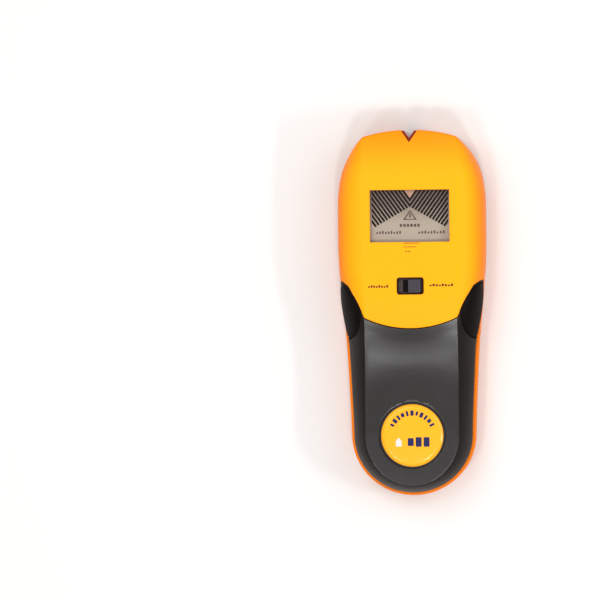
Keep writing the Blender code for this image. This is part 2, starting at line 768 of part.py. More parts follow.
def build_mode_switch():
    body = box("mode_switch_body", (-7.6, SLOT_Y - 4.4, OVER_MAIN + 0.3), (7.6, SLOT_Y + 4.4, SWITCH_TOP))
    channel = box("mode_switch_channel", (-5.6, SLOT_Y - 1.4, KNOB_STEM_Z - 0.4),
                  (5.6, SLOT_Y + 1.4, FAR_OUT), CUTTERS)
    boolean(body, channel)
    paint(body, (0.45, 0.45, 0.46), 0.3, 0.8)
    knob = box("mode_switch_knob", (KNOB_X - KNOB_STEM_HALF_X, SLOT_Y - KNOB_STEM_HALF_Y, KNOB_STEM_Z),
               (KNOB_X + KNOB_STEM_HALF_X, SLOT_Y + KNOB_STEM_HALF_Y, KNOB_PLATE_Z + 0.4))
    plate = box("knob_plate", (KNOB_X - KNOB_HALF_X, SLOT_Y - KNOB_HALF_Y, KNOB_PLATE_Z),
                (KNOB_X + KNOB_HALF_X, SLOT_Y + KNOB_HALF_Y, KNOB_TOP), CUTTERS)
    boolean(knob, plate, "UNION")
    for k in range(3):
        x = KNOB_X - 1.6 + 1.6 * k
        boolean(knob, box(f"knob_groove_{k}", (x - 0.35, SLOT_Y - 5.0, KNOB_TOP - 0.5),
                          (x + 0.35, SLOT_Y + 5.0, KNOB_TOP + 1.0), CUTTERS))
    paint(knob, (0.06, 0.07, 0.10), 0.4)
    set_origin(knob, (KNOB_X, SLOT_Y, KNOB_STEM_Z))


# ---------------------------------------------------------------- boards

def board(name, outline, z0, hole_y):
    obj = prism(name, outline, z0, z0 + BOARD_THICK)
    for k, x in enumerate((BOARD_HOLE_X, -BOARD_HOLE_X)):
        boolean(obj, rod(f"{name}_hole_{k}", (x, hole_y, z0 - 1.0), BOARD_HOLE_R, BOARD_THICK + 2.0,
                         sides=16, collection=CUTTERS))
    paint(obj, (0.02, 0.18, 0.07), 0.4)


def build_sensor_plates():
    """Copper sensing plates on the underside of the lower board: name, middle and half width."""
    for side, x, half in (("left", -13.5, 5.5), ("centre", 0.0, 3.0), ("right", 13.5, 5.5)):
        plate = box("sensor_plate_" + side, (x - half, PLATE_Y0, SENSE_Z - 0.6),
                    (x + half, PLATE_Y1, SENSE_Z - 0.25))
        paint(plate, (0.72, 0.33, 0.16), 0.3, 1.0)


def build_boards():
    board("main_pcb", MAIN_OUTLINE, MAIN_Z, 6.0)
    board("sensor_board", SENSE_OUTLINE, SENSE_Z, 33.0)
    build_sensor_plates()
    connector = box("board_connector", (-7.8, 33.0, SENSE_Z + BOARD_THICK + 0.2), (7.8, 35.5, UNDER_MAIN))
    bevel(connector, 0.3, 1)
    paint(connector, (0.02, 0.02, 0.02), 0.5)
    chip = box("controller_chip", (-5.0, 44.0, UNDER_MAIN - 1.7), (5.0, 54.0, UNDER_MAIN))
    bevel(chip, 0.3, 1)
    paint(chip, (0.025, 0.025, 0.028), 0.45)
    can = prism("crystal_can", rounded_rectangle(5.3, 2.2, 2.1, (13.5, 49.0)), UNDER_MAIN - 3.6, UNDER_MAIN)
    paint(can, (0.62, 0.62, 0.60), 0.25, 1.0)
    for k, x in enumerate((-17.0, -10.5)):
        cap = lathe(f"capacitor_{k + 1}", [(0.0, 0.0), (2.5, 0.0), (2.5, -6.6), (2.2, -7.0), (0.0, -7.0)],
                    (x, 22.0, UNDER_MAIN), 20)
        paint(cap, (0.05, 0.06, 0.16), 0.3)
    profile = [(0.0, 0.0), (6.0, 0.0), (6.0, -6.0), (5.6, -6.4), (1.0, -6.4), (1.0, -5.0), (0.0, -5.0)]
    buzzer = lathe("piezo_buzzer", profile, (12.0, 24.0, UNDER_MAIN), 28)
    paint(buzzer, (0.02, 0.02, 0.02), 0.4)
    led = lathe("spotlight_led", [(0.0, 7.6), (1.4, 7.1), (2.2, 6.0), (2.4, 4.6), (2.4, 1.0), (2.9, 1.0),
                                  (2.9, 0.0), (0.0, 0.0)], (0.0, 69.4, SENSE_Z + BOARD_THICK + 3.2), 20, "Y")
    paint(led, (0.5, 0.02, 0.02), 0.15)


# ---------------------------------------------------------------- side ovals

def build_oval(name, sign):
    """Thumb-sized cap that continues the flank, with a guide lip behind it."""
    columns = upper_form(name, -OVAL_BULGE, SPLIT_Z - 4.0, PARTS)
    outline = side_prism(name + "_outline", oval_outline(0.0), sign * OVAL_ROOT_X, sign * FAR_OUT, CUTTERS)
    boolean(columns, outline, "INTERSECT")
    boolean(columns, upper_form(name + "_core", OVAL_DEPTH, SPLIT_Z - 6.0, CUTTERS))
    return columns


def build_power_button():
    button = build_oval("power_button", -1.0)
    stem = rod("power_button_stem", (STEM_TIP_X, STEM_Y, STEM_Z), STEM_R, -STEM_LENGTH, "X", 16, CUTTERS)
    boolean(button, stem, "UNION")
    paint(button, (0.012, 0.011, 0.011), 0.3)
    set_origin(button, (STEM_TIP_X, STEM_Y, STEM_Z))


def build_side_pad():
    pad = build_oval("side_grip_pad", 1.0)
    paint(pad, (0.012, 0.011, 0.011), 0.3)


def build_tact_switch():
    body = box("tact_switch_body", (TACT_FACE_X, STEM_Y - TACT_HALF, STEM_Z - TACT_HALF),
               (TACT_FACE_X + TACT_DEPTH, STEM_Y + TACT_HALF, STEM_Z + TACT_HALF))
    bevel(body, 0.3, 1)
    boolean(body, rod("tact_bore", (TACT_FACE_X - 1.0, STEM_Y, STEM_Z), TACT_BORE_R, TACT_BORE_DEPTH + 1.0,
                      "X", 20, CUTTERS))
    paint(body, (0.03, 0.03, 0.03), 0.5)
    plunger = rod("tact_plunger", (STEM_TIP_X + STEM_GAP, STEM_Y, STEM_Z), PLUNGER_R, PLUNGER_LENGTH, "X", 20)
    paint(plunger, (0.7, 0.68, 0.62), 0.4)
    set_origin(plunger, (STEM_TIP_X + STEM_GAP, STEM_Y, STEM_Z))


# ---------------------------------------------------------------- battery and contacts

def build_battery():
    y1 = BATTERY_Y0 + BATTERY_LENGTH
    cell = box("battery", (-BATTERY_HALF_X, BATTERY_Y0, BATTERY_Z0),
               (BATTERY_HALF_X, y1, BATTERY_Z0 + BATTERY_THICK))
    bevel(cell, 1.6, 3)
    paint(cell, (0.10, 0.11, 0.13), 0.3, 0.3)
    small = lathe("battery_terminal_positive", [(0.0, 2.8), (2.6, 2.8), (2.9, 2.4), (2.9, 0.15), (0.0, 0.15)],
                  (CONTACT_X, y1, CONTACT_Z), 24, "Y")
    paint(small, (0.65, 0.64, 0.60), 0.25, 1.0)
    profile = [(0.0, 2.0), (2.6, 2.0), (2.6, 2.8), (3.6, 2.8), (4.0, 2.4), (4.0, 0.15), (0.0, 0.15)]
    large = lathe("battery_terminal_negative", profile, (-CONTACT_X, y1, CONTACT_Z), 24, "Y")
    paint(large, (0.65, 0.64, 0.60), 0.25, 1.0)
    snap = box("battery_snap", (-12.8, y1 + 0.5, CONTACT_Z - 6.2), (12.8, y1 + 4.6, CONTACT_Z + 6.2))
    for k, (x, r) in enumerate(((CONTACT_X, 3.2), (-CONTACT_X, 4.3))):
        boolean(snap, rod(f"snap_socket_{k}", (x, y1 - 1.0, CONTACT_Z), r, 4.1, "Y", 24, CUTTERS))
    paint(snap, (0.02, 0.02, 0.02), 0.55)
    foam = box("battery_foam", (-10.0, -70.0, BATTERY_Z0 + BATTERY_THICK + 0.2), (10.0, -40.0, 24.2))
    paint(foam, (0.05, 0.05, 0.05), 0.95)


def lead(name, points, radius, colour):
    curve = bpy.data.curves.new(name, "CURVE")
    curve.dimensions = "3D"
    curve.bevel_depth = radius * MM
    curve.bevel_resolution = 2
    curve.use_fill_caps = True
    spline = curve.splines.new("POLY")
    spline.points.add(len(points) - 1)
    for point, (x, y, z) in zip(spline.points, points):
        point.co = (x * MM, y * MM, z * MM, 1.0)
    obj = bpy.data.objects.new(name, curve)
    PARTS.objects.link(obj)
    paint(obj, colour, 0.45)


def bezier(points, steps):
    """Cubic curve through four control points."""
    found = []
    for k in range(steps + 1):
        t = k / steps
        weights = ((1 - t) ** 3, 3 * t * (1 - t) ** 2, 3 * t * t * (1 - t), t ** 3)
        found.append(tuple(sum(w * p[c] for w, p in zip(weights, points)) for c in range(3)))
    return found


def build_leads():
    y1 = BATTERY_Y0 + BATTERY_LENGTH + 4.9
    red = ("battery_lead_red", 1.0, (0.6, 0.02, 0.02))
    black = ("battery_lead_black", -1.0, (0.02, 0.02, 0.02))
    for name, sign, colour in (red, black):
        route = [(sign * 9.0, y1, 15.0), (sign * 9.0, y1 + 14.0, 15.0), (sign * 7.0, 8.0, 6.0),
                 (sign * 7.0, 8.0, MAIN_Z - 0.3)]
        lead(name, bezier(route, 14), LEAD_R, colour)


def build_battery_door():
    plate = box("battery_door", (-DOOR_HALF_X, DOOR_END_Y, 0.0), (DOOR_HALF_X, DOOR_HINGE_Y, DOOR_THICK))
    knuckle = rod("door_knuckle", (-DOOR_HALF_X, DOOR_HINGE_Y, HINGE_Z), HINGE_R, 2 * DOOR_HALF_X, "X",
                  24, CUTTERS)
    boolean(plate, knuckle, "UNION")
    pins = rod("door_pins", (-DOOR_HALF_X - PIN_REACH, DOOR_HINGE_Y, HINGE_Z), PIN_R,
               2 * (DOOR_HALF_X + PIN_REACH), "X", 20, CUTTERS)
    boolean(plate, pins, "UNION")
    tongue = box("door_tongue", (-4.0, DOOR_END_Y - 1.8, 0.0), (4.0, DOOR_END_Y + 2.0, 0.8), CUTTERS)
    boolean(plate, tongue, "UNION")
    for k in range(5):
        y = DOOR_END_Y + 5.0 + 2.0 * k
        boolean(plate, box(f"door_groove_{k}", (-7.0, y - 0.5, -1.0), (7.0, y + 0.5, 0.45), CUTTERS))
    paint(plate, (0.95, 0.48, 0.02), 0.4)
    set_origin(plate, (0.0, DOOR_HINGE_Y, HINGE_Z))


def set_origin(obj, at):
    """Moves the object's origin without moving its shape; its cutters stay where they are."""
    bake(obj)
    shift = np.array(at) * MM
    for vertex in obj.data.vertices:
        vertex.co = [c - s for c, s in zip(vertex.co, shift)]
    obj.location = shift


# ---------------------------------------------------------------- badge, screws and pads

def build_badge():
    rim = top_height(0.0, BADGE_Y)
    low = BADGE_WELL_Z + 0.25
    profile = [(0.0, rim + BADGE_RISE)]
    for k in range(1, 7):
        r = (BADGE_R - 1.0) * k / 6
        profile.append((r, rim + BADGE_RISE * (1 - (k / 6) ** 2)))
    profile += [(BADGE_R - 0.3, rim - 0.25), (BADGE_R, rim - 0.7), (BADGE_R, low), (0.0, low)]
    badge = lathe("badge", profile, (0.0, BADGE_Y, 0.0), 48)
    paint(badge, (0.95, 0.55, 0.03), 0.3)


def build_screws():
    for k, (x, y) in enumerate(SCREWS):
        top = HEAD_WELL_Z - 0.2
        profile = [(0.0, SCREW_TOP_Z), (SCREW_R * 0.5, SCREW_TOP_Z), (SCREW_R, SCREW_TOP_Z - 1.5),
                   (SCREW_R, top), (SCREW_HEAD_R, top), (SCREW_HEAD_R, top - 1.2),
                   (SCREW_HEAD_R - 0.8, top - 1.8), (0.0, top - 1.8)]
        screw = lathe(f"housing_screw_{k + 1}", profile, (x, y, 0.0), 16)
        for turn, (a, b) in enumerate(((1.7, 0.35), (0.35, 1.7))):
            slot = box(f"screw_{k}_slot_{turn}", (x - a, y - b, top - 3.0), (x + a, y + b, top - 1.0),
                       CUTTERS)
            boolean(screw, slot)
        paint(screw, (0.45, 0.45, 0.46), 0.3, 1.0)


def build_pads():
    for k, (x, y) in enumerate(PADS):
        profile = [(0.0, PAD_TOP_Z), (PAD_R, PAD_TOP_Z), (PAD_R, 0.15 - PAD_PROUD),
                   (PAD_R - 0.15, -PAD_PROUD), (0.0, -PAD_PROUD)]
        pad = lathe(f"glide_pad_{k + 1}", profile, (x, y, 0.0), 24)
        paint(pad, (0.05, 0.05, 0.055), 0.9)


build_front_housing()
build_handle_cover()
build_back_housing()
build_marker_lens()
build_display()
build_mode_switch()
build_boards()
build_power_button()
build_side_pad()
build_tact_switch()
build_battery()
build_leads()
build_battery_door()
build_badge()
build_screws()
build_pads()

for built in list(PARTS.objects) + list(CUTTERS.objects):
    built.location.y += CENTRE_SHIFT * MM
    built.location.z += PAD_PROUD * MM
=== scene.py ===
"""Stud finder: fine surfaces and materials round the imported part."""
from math import cos, hypot, pi, radians, sin, sqrt, tan

import bmesh
import bpy
import numpy as np
from mathutils import Matrix, Vector


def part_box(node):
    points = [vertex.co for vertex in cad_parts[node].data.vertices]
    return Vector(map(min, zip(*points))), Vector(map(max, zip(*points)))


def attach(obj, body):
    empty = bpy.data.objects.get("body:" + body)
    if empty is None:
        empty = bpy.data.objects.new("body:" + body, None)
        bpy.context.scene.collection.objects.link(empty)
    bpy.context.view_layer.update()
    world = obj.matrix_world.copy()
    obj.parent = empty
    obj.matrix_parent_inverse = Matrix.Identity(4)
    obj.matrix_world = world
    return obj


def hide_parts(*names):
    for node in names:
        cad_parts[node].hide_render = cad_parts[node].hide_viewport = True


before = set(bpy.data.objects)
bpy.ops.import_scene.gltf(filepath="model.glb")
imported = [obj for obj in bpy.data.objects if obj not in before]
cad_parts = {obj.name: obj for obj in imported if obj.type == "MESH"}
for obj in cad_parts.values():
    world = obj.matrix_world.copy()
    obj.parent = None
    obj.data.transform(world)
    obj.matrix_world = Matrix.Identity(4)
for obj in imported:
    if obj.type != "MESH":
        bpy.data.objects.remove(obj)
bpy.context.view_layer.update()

MM = 0.001
SHIFT_Y = 1.0          # the drawing's zero against the frame's, in mm
SHIFT_Z = 0.4
FRAME_SPAN = 0.288     # width of the view at the object's face, in metres
BODY = "case"

# -------- form of the case, in mm
NOTCH_END_Y = 87.0
NOTCH_TIP_Y = 80.9
NOTCH_X = 4.2
TOP_ARC_R = 77.5
CORNER_X = 22.3
CORNER_Y = 83.8
CORNER_SLANT = 0.6
CORNER_LENGTH = 6.0
END_Y = -59.7
END_RX = 29.9
END_RY = 29.2
FLANK = [(83.8, 22.3), (77.1, 28.3), (69.7, 32.4), (60.9, 34.7), (48.5, 35.5), (35.0, 35.5), (22.7, 35.2),
         (13.9, 34.5), (0.0, 33.4), (-13.4, 32.1), (-33.0, 31.0), (-57.0, 29.95), (-59.7, 29.9)]
PANEL = 22.5
PANEL_END_RX = 22.7
PANEL_END_RY = 24.4
ROLL = 1.2
CREASE = 0.5
WALL = 2.0
FLOOR = 2.2
BACK_EDGE_R = 2.2
RIM_STEP = 1.4
RIM_START_Y = 7.0
RIM_FULL_Y = -20.0
DRAFT = 0.15
HEIGHTS = [(88.0, 30.4), (84.0, 31.5), (78.0, 32.4), (70.0, 32.9), (60.0, 33.0), (10.0, 33.0), (3.4, 33.0),
           (1.4, 32.75), (-8.4, 31.35), (-16.0, 29.9), (-26.0, 28.4), (-38.0, 27.6), (-50.0, 27.8),
           (-60.0, 28.0), (-72.0, 28.0), (-84.1, 27.95), (-89.0, 27.85)]
SPLIT = 15.0
SHOULDER = 18.0
NARROW_MARGIN = 8.0    # reach under which the flank steepens
NARROW_BLEND = 6.0
NARROW_SIDE = 0.6
FLAT_ROUND = 0.3       # how round the flank's section is on the handle, and how much more on the head
HEAD_ROUND = 0.55
ROUND_START_Y = -14.0
ROUND_LENGTH = 34.0

# The face's contours bend with the seam and straighten out towards the badge.
SEAM_R = 50.0
BEND_REACH = 26.0
BEND_END_Y = -44.0
BEND_FADE = 34.0

# Dishing of the handle's face: a shallow trough, and a deeper hollow for the thumb.
TROUGH = 0.5
TROUGH_START_Y = -7.0
TROUGH_LENGTH = 20.0
THUMB = 0.8
THUMB_START_Y = 1.5
THUMB_ENTRY = 21.0
THUMB_END_Y = -21.0
THUMB_EXIT = 20.0

# Seam between the yellow head and the black handle.
SEAM = 0.3
SEAM_LOW = -8.4
SEAM_CORNER = (22.4, -3.2)
SEAM_FLANK = [(24.0, 0.5), (27.0, 6.7), (30.0, 12.0), (33.0, 14.2), (40.0, 17.0)]
OVAL_X = [(-13.4, 30.6), (-12.0, 28.2), (-10.6, 26.8), (-7.0, 25.3), (-3.0, 24.7), (0.5, 24.7), (4.0, 26.0),
          (6.7, 27.6), (9.5, 29.4), (12.0, 31.6), (13.4, 33.6)]
OVAL_GAP = 0.35
OVAL_FLAT_Y = 9.5
OVAL_LOW = 1.1         # lowest edge and lower corners above the split
OVAL_CORNER = 2.6
OVAL_CORNER_LEAN = 0.6
FACE_Z = 33.0
WINDOW_X = 19.1
WINDOW_LOW = 33.1
WINDOW_TOP = 58.1
SLOT_X = 6.5
SLOT_HALF_Y = 4.1
SLOT_Y = 12.0
SLOT_R = 1.3
FLARE = 0.3            # small flare round an opening in the face
BADGE_Y = -59.8
WELL_R = 15.8
WELL_Z = 26.6
SCREWS = [(28.0, 24.0), (-28.0, 24.0), (20.4, -67.0), (-20.4, -67.0)]
PADS = [(24.0, 66.0), (-24.0, 66.0), (25.0, -8.0), (-25.0, -8.0)]


def smooth_value(table, at):
    """Value at a place in a table of (place, value), eased so that it never passes a turning point."""
    places = np.array([p for p, _ in table])
    values = np.array([v for _, v in table])
    if places[0] > places[-1]:
        places, values = places[::-1], values[::-1]
    steps = np.diff(values) / np.diff(places)
    slopes = np.concatenate([[steps[0]], (steps[:-1] + steps[1:]) / 2, [steps[-1]]])
    slopes[1:-1][steps[:-1] * steps[1:] <= 0] = 0.0
    at = float(np.clip(at, places[0], places[-1]))
    i = int(np.clip(np.searchsorted(places, at) - 1, 0, len(places) - 2))
    h = places[i + 1] - places[i]
    t = (at - places[i]) / h
    a = (1 + 2 * t) * (1 - t) ** 2 * values[i] + t * t * (3 - 2 * t) * values[i + 1]
    return a + t * (1 - t) ** 2 * h * slopes[i] - t * t * (1 - t) * h * slopes[i + 1]


def clamp(v, a=0.0, b=1.0):
    return min(max(v, a), b)


def eased(v):
    t = clamp(v)
    return t * t * (3 - 2 * t)


def face_height(x, y):
    """Height of the face: it falls away along arcs that run with the seam, and is dished on the handle."""
    rise = SEAM_R - sqrt(max(SEAM_R ** 2 - min(abs(x), BEND_REACH) ** 2, 1.0))
    along = y - rise * clamp((y - BEND_END_Y) / BEND_FADE)
    thumb = THUMB * eased((THUMB_START_Y - y) / THUMB_ENTRY) * (1.0 - eased((THUMB_END_Y - y) / THUMB_EXIT))
    dish = TROUGH * clamp((TROUGH_START_Y - y) / TROUGH_LENGTH) + thumb
    return smooth_value(HEIGHTS, along) + dish * ((x / PANEL) ** 2 - 1.0)


def roundness(y):
    """How round the flank's section is, from 0 for a chamfer to 1 for a quarter of an ellipse."""
    return FLAT_ROUND + HEAD_ROUND * clamp((y - ROUND_START_Y) / ROUND_LENGTH)


def rim_inset(y):
    """Step of the upper skin in from the lower housing, which shows as a rim round the handle."""
    return RIM_STEP * eased((RIM_START_Y - y) / (RIM_START_Y - RIM_FULL_Y))


def stations(top_steps, flank_ys, end_steps):
    """Pairs of plan points, on the outline and on the panel's edge, from the notch round to the handle."""
    found = []
    for k in range(top_steps + 1):
        x = CORNER_X * k / top_steps
        y = NOTCH_END_Y - TOP_ARC_R + sqrt(TOP_ARC_R ** 2 - x ** 2)
        lean = (k / top_steps) ** 6
        nx, ny = sin(lean * pi / 4), cos(lean * pi / 4)
        found.append(((x, y), (x - ROLL * nx, y - ROLL * ny)))
    for y in flank_ys:
        width = smooth_value(FLANK, y)
        edge = min(PANEL, width - ROLL)
        slant = CORNER_SLANT * max(0.0, 1 - (CORNER_Y - y) / CORNER_LENGTH)
        found.append(((width, y), (edge, y - slant)))
    for k in range(1, end_steps + 1):
        c, s = cos(pi / 2 * k / end_steps), sin(pi / 2 * k / end_steps)
        found.append(((END_RX * c, END_Y - END_RY * s), (PANEL_END_RX * c, END_Y - PANEL_END_RY * s)))
    return found


def flank_section(outer, panel, inset, low_z, steps):
    """Upper skin from low_z up and in to the panel edge, as (outward, z)."""
    reach = hypot(outer[0] - panel[0], outer[1] - panel[1]) - inset
    top = face_height(*panel)
    shoulder = min(SHOULDER, top - ROLL)
    curve = roundness(outer[1])
    narrow = clamp((NARROW_MARGIN - reach) / NARROW_BLEND) if outer[1] > 0 else 0.0
    shoulder += narrow * (top - ROLL - NARROW_SIDE - shoulder)
    curve += narrow * (1.0 - curve)
    section = [(reach, low_z), (reach, (low_z + shoulder) / 2), (reach, shoulder)]
    for k in range(1, steps + 1):
        t = k / steps
        angle = pi / 2 * t
        d = curve * reach * cos(angle) + (1 - curve) * reach * (1 - t)
        z = curve * sin(angle) + (1 - curve) * t
        section.append((d, shoulder + (top - shoulder) * z))
    return section


def soften(section, size):
    """Rounds the crease where the flank meets the panel."""
    z = section[-1][1]
    d0, z0 = section[-2]
    return section[:-1] + [(d0 * 0.35, z0 + (z - z0) * 0.72), (-size * 0.15, z - 0.01), (-size, z)]


def move_in(section, distance, top_z):
    """The section offset inwards, kept from folding back on itself and ended at top_z."""
    moved = []
    for i, (d, z) in enumerate(section):
        b, a = section[max(i - 1, 0)], section[min(i + 1, len(section) - 1)]
        run, rise = a[0] - b[0], a[1] - b[1]
        size = hypot(run, rise) or 1.0
        moved.append((d - distance * rise / size, z + distance * run / size))
    kept = [moved[0]]
    for d, z in moved[1:]:
        limit = kept[-1][0] - (0.04 if len(kept) > 2 else 0.0)
        kept.append((min(d, limit), max(min(z, top_z), kept[-1][1])))
    kept[-1] = (kept[-1][0], top_z)
    return kept


def place(station, section):
    """Points of a section that runs outwards from the station's panel point."""
    outer, panel = station
    dx, dy = outer[0] - panel[0], outer[1] - panel[1]
    size = hypot(dx, dy)
    return [(panel[0] + dx / size * d, panel[1] + dy / size * d, z) for d, z in section]


# -------- mesh helpers
MERGE = 0.000012
WELD = 0.00001
SHARP = 32
LOOKS = bpy.data.collections.new("looks")
bpy.context.scene.collection.children.link(LOOKS)


def to_world(p):
    """From the drawing's millimetres to the frame's metres."""
    return (p[0] * MM, (p[1] + SHIFT_Y) * MM, (p[2] + SHIFT_Z) * MM)


def tidy(obj):
    """Merges double points and turns the faces outwards."""
    work = bmesh.new()
    work.from_mesh(obj.data)
    bmesh.ops.remove_doubles(work, verts=work.verts, dist=MERGE)
    bmesh.ops.recalc_face_normals(work, faces=work.faces)
    if work.calc_volume(signed=True) < 0:
        bmesh.ops.reverse_faces(work, faces=work.faces)
    work.to_mesh(obj.data)
    work.free()
    return obj


def mesh_piece(name, points, faces):
    mesh = bpy.data.meshes.new(name)
    mesh.from_pydata([to_world(p) for p in points], [], faces)
    obj = bpy.data.objects.new(name, mesh)
    LOOKS.objects.link(obj)
    return tidy(obj)


def evaluated(obj):
    """Applies the object's modifiers."""
    bpy.context.view_layer.update()
    graph = bpy.context.evaluated_depsgraph_get()
    mesh = bpy.data.meshes.new_from_object(obj.evaluated_get(graph))
    obj.modifiers.clear()
    obj.data = mesh
    return obj


def cut(obj, *cutters, operation="DIFFERENCE"):
    for cutter in cutters:
        m = obj.modifiers.new("cut", "BOOLEAN")
        m.operation = operation
        m.solver = "EXACT"
        m.object = cutter
    return evaluated(obj)


def drop(*objs):
    for o in objs:
        bpy.data.objects.remove(o, do_unlink=True)


def smooth(obj, angle=SHARP):
    obj.data.shade_smooth()
    obj.data.set_sharp_from_angle(angle=radians(angle))
    return obj


def box(name, low, high):
    (x0, y0, z0), (x1, y1, z1) = low, high
    points = [(x, y, z) for z in (z0, z1) for y in (y0, y1) for x in (x0, x1)]
    faces = [(0, 2, 3, 1), (4, 5, 7, 6), (0, 1, 5, 4), (2, 6, 7, 3), (0, 4, 6, 2), (1, 3, 7, 5)]
    return mesh_piece(name, points, faces)


def stack(name, rings, cap="both"):
    """Solid from rings of equal length, first ring to last; the last needs no cap where it has closed up."""
    n = len(rings[0])
    points = [p for ring in rings for p in ring]
    faces = []
    for j in range(len(rings) - 1):
        for i in range(n):
            a, b = j * n + i, j * n + (i + 1) % n
            faces.append((a, b, b + n, a + n))
    faces.append(tuple(range(n))[::-1])
    if cap == "both":
        faces.append(tuple(range((len(rings) - 1) * n, len(rings) * n)))
    return mesh_piece(name, points, faces)


def prism(name, outline, z0, z1):
    return stack(name, [[(x, y, z0) for x, y in outline], [(x, y, z1) for x, y in outline]])


def turns(sides):
    return [2 * pi * k / sides for k in range(sides)]


def circle(radius, z, centre=(0.0, 0.0), sides=96):
    return [(centre[0] + radius * cos(a), centre[1] + radius * sin(a), z) for a in turns(sides)]


def rounded(hx, hy, r, centre=(0.0, 0.0), steps=8):
    """Outline of a rectangle with rounded corners."""
    outline = []
    for sx, sy, start in ((1, 1, 0), (-1, 1, 90), (-1, -1, 180), (1, -1, 270)):
        for k in range(steps + 1):
            a = radians(start + 90 * k / steps)
            x = centre[0] + sx * (hx - r) + r * cos(a)
            y = centre[1] + sy * (hy - r) + r * sin(a)
            outline.append((x, y))
    return outline


def ride(obj, body=BODY, stands_for=()):
    """Puts a new piece on its body and the nodes that it stands for."""
    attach(obj, body)
    if stands_for:
        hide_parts(*stands_for)
    return obj


# -------- fine forms
def spaced(a, b, step):
    """Places from a to b, without a itself."""
    n = max(1, int(round(abs(a - b) / step)))
    return [a + (b - a) * (k + 1) / n for k in range(n)]


FINE = [82.9, 81.9, 80.8] + spaced(80.8, 60.0, 1.1) + spaced(60.0, 18.0, 1.8)
FINE += spaced(18.0, -20.0, 0.8) + spaced(-20.0, -58.9, 1.5)
COARSE = [81.8, 79.5, 77.1, 73.5, 69.7, 65.5, 60.9, 55.0, 48.5, 41.5, 35.0, 28.5, 22.7, 18.0, 13.9, 9.5, 5.0,
          0.0, -4.5, -9.0, -13.4, -18.0, -23.0, -28.0, -33.0, -39.0, -45.0, -51.0, -57.0]


def half_solid(name, columns, centre_rows, crowned):
    """Mirrored solid from columns of points; its first and last rows are carried in to the centre line."""
    ends = [(columns[0][k][1], columns[-1][k][1]) for k in (0, -1)]
    grid = []
    for column in columns:
        strips = []
        for k, (top_y, low_y) in zip((0, -1), ends):
            x, y, z = column[k]
            cy = clamp(y, low_y, top_y)
            rows = centre_rows if k == -1 else 1
            shares = [1 - r / rows for r in range(1, rows + 1)]
            strips.append([(x * f, cy + (y - cy) * f, z) for f in shares])
        if crowned:
            change = column[-1][2] - face_height(column[-1][0], column[-1][1])
            strips[1] = [(x, y, face_height(x, y) + change) for x, y, z in strips[1]]
        grid.append(strips[0][::-1] + list(column) + strips[1])
    rows = len(grid[0])
    points = [p for column in grid for p in column]
    faces = []
    for i in range(len(grid) - 1):
        for j in range(rows - 1):
            a = i * rows + j
            faces.append((a, a + 1, a + rows + 1, a + rows))
    count = len(points)
    points += [(-x, y, z) for x, y, z in points]
    faces += [tuple(count + v for v in f) for f in faces]
    return mesh_piece(name, points, faces)


def on_centre(columns):
    for column in (columns[0], columns[-1]):
        column[:] = [(0.0, y, z) for x, y, z in column]
    return columns


def upper_form(name, inward=0.0, low_z=SPLIT + SEAM, fine=True):
    """Solid under the upper skin, or the hollow that lies inward of it."""
    flank = FINE if fine else COARSE[2:]
    columns = []
    for station in stations(22 if fine else 6, flank, 34 if fine else 10):
        section = flank_section(*station, rim_inset(station[0][1]), low_z, 16 if fine else 6)
        if inward:
            section = move_in(section, inward, face_height(*station[1]) - inward)
            section[0] = (section[1][0], low_z)
        else:
            section = soften(section, CREASE)
        columns.append(place(station, section))
    return half_solid(name, on_centre(columns), 16 if fine else 2, True)


def lower_section(reach, inward, low_z):
    """Section of the lower housing's side, with a rounded back edge and a small roll at the split."""
    if inward:
        return [(reach - DRAFT - inward, low_z), (reach - inward, SPLIT + 2.0)]
    section = []
    r = min(BACK_EDGE_R, 0.6 * reach)
    for k in range(7):
        a = pi / 2 * k / 6
        section.append((reach - DRAFT - r * (1 - sin(a)), r * (1 - cos(a)) * 0.9))
    section += [(reach - 0.1, 6.0), (reach - 0.05, 11.0), (reach, SPLIT - 0.5), (reach - 0.08, SPLIT - 0.2),
                (reach - 0.3, SPLIT - 0.03), (reach - 0.5, SPLIT)]
    return section


def lower_form(name, inward=0.0, low_z=0.0, fine=True):
    columns = []
    for station in stations(22 if fine else 6, FINE if fine else COARSE, 34 if fine else 10):
        outer, panel = station
        reach = hypot(outer[0] - panel[0], outer[1] - panel[1])
        columns.append(place(station, lower_section(reach, inward, low_z)))
    return half_solid(name, on_centre(columns), 1, False)


def section_at(y):
    """Half width of the panel and section of the upper skin at a place along the tool."""
    width = smooth_value(FLANK, y)
    panel = min(PANEL, width - ROLL)
    return panel, flank_section((width, y), (panel, y), rim_inset(y), SPLIT, 24)


def skin_height(x, y):
    """Height of the upper skin over a plan point."""
    x = abs(x)
    if x <= PANEL or y > 80.0:
        return face_height(x, y)
    _, section = section_at(y)
    reach = x - PANEL
    for (d0, z0), (d1, z1) in zip(section[2:], section[3:]):
        if d1 <= reach <= d0:
            return z0 + (z1 - z0) * (d0 - reach) / max(d0 - d1, 1e-6)
    return section[2][1]


def skin_reach(y, z):
    """Half width of the upper skin at a height."""
    panel, section = section_at(y)
    for (d0, z0), (d1, z1) in zip(section[2:], section[3:]):
        if z0 <= z <= z1:
            return panel + d0 + (d1 - d0) * (z - z0) / max(z1 - z0, 1e-6)
    return panel + section[2][0] if z < section[2][1] else panel


def seam_points(steps=22):
    """Right half of the seam, in plan, from the centre line out past the flank."""
    arc = []
    for k in range(steps + 1):
        x = SEAM_CORNER[0] * k / steps
        arc.append((x, SEAM_LOW + (SEAM_R - sqrt(SEAM_R ** 2 - x * x))))
    shift = SEAM_CORNER[1] - arc[-1][1]
    arc = [(x, y + shift * (x / SEAM_CORNER[0]) ** 2) for x, y in arc]
    return arc + SEAM_FLANK


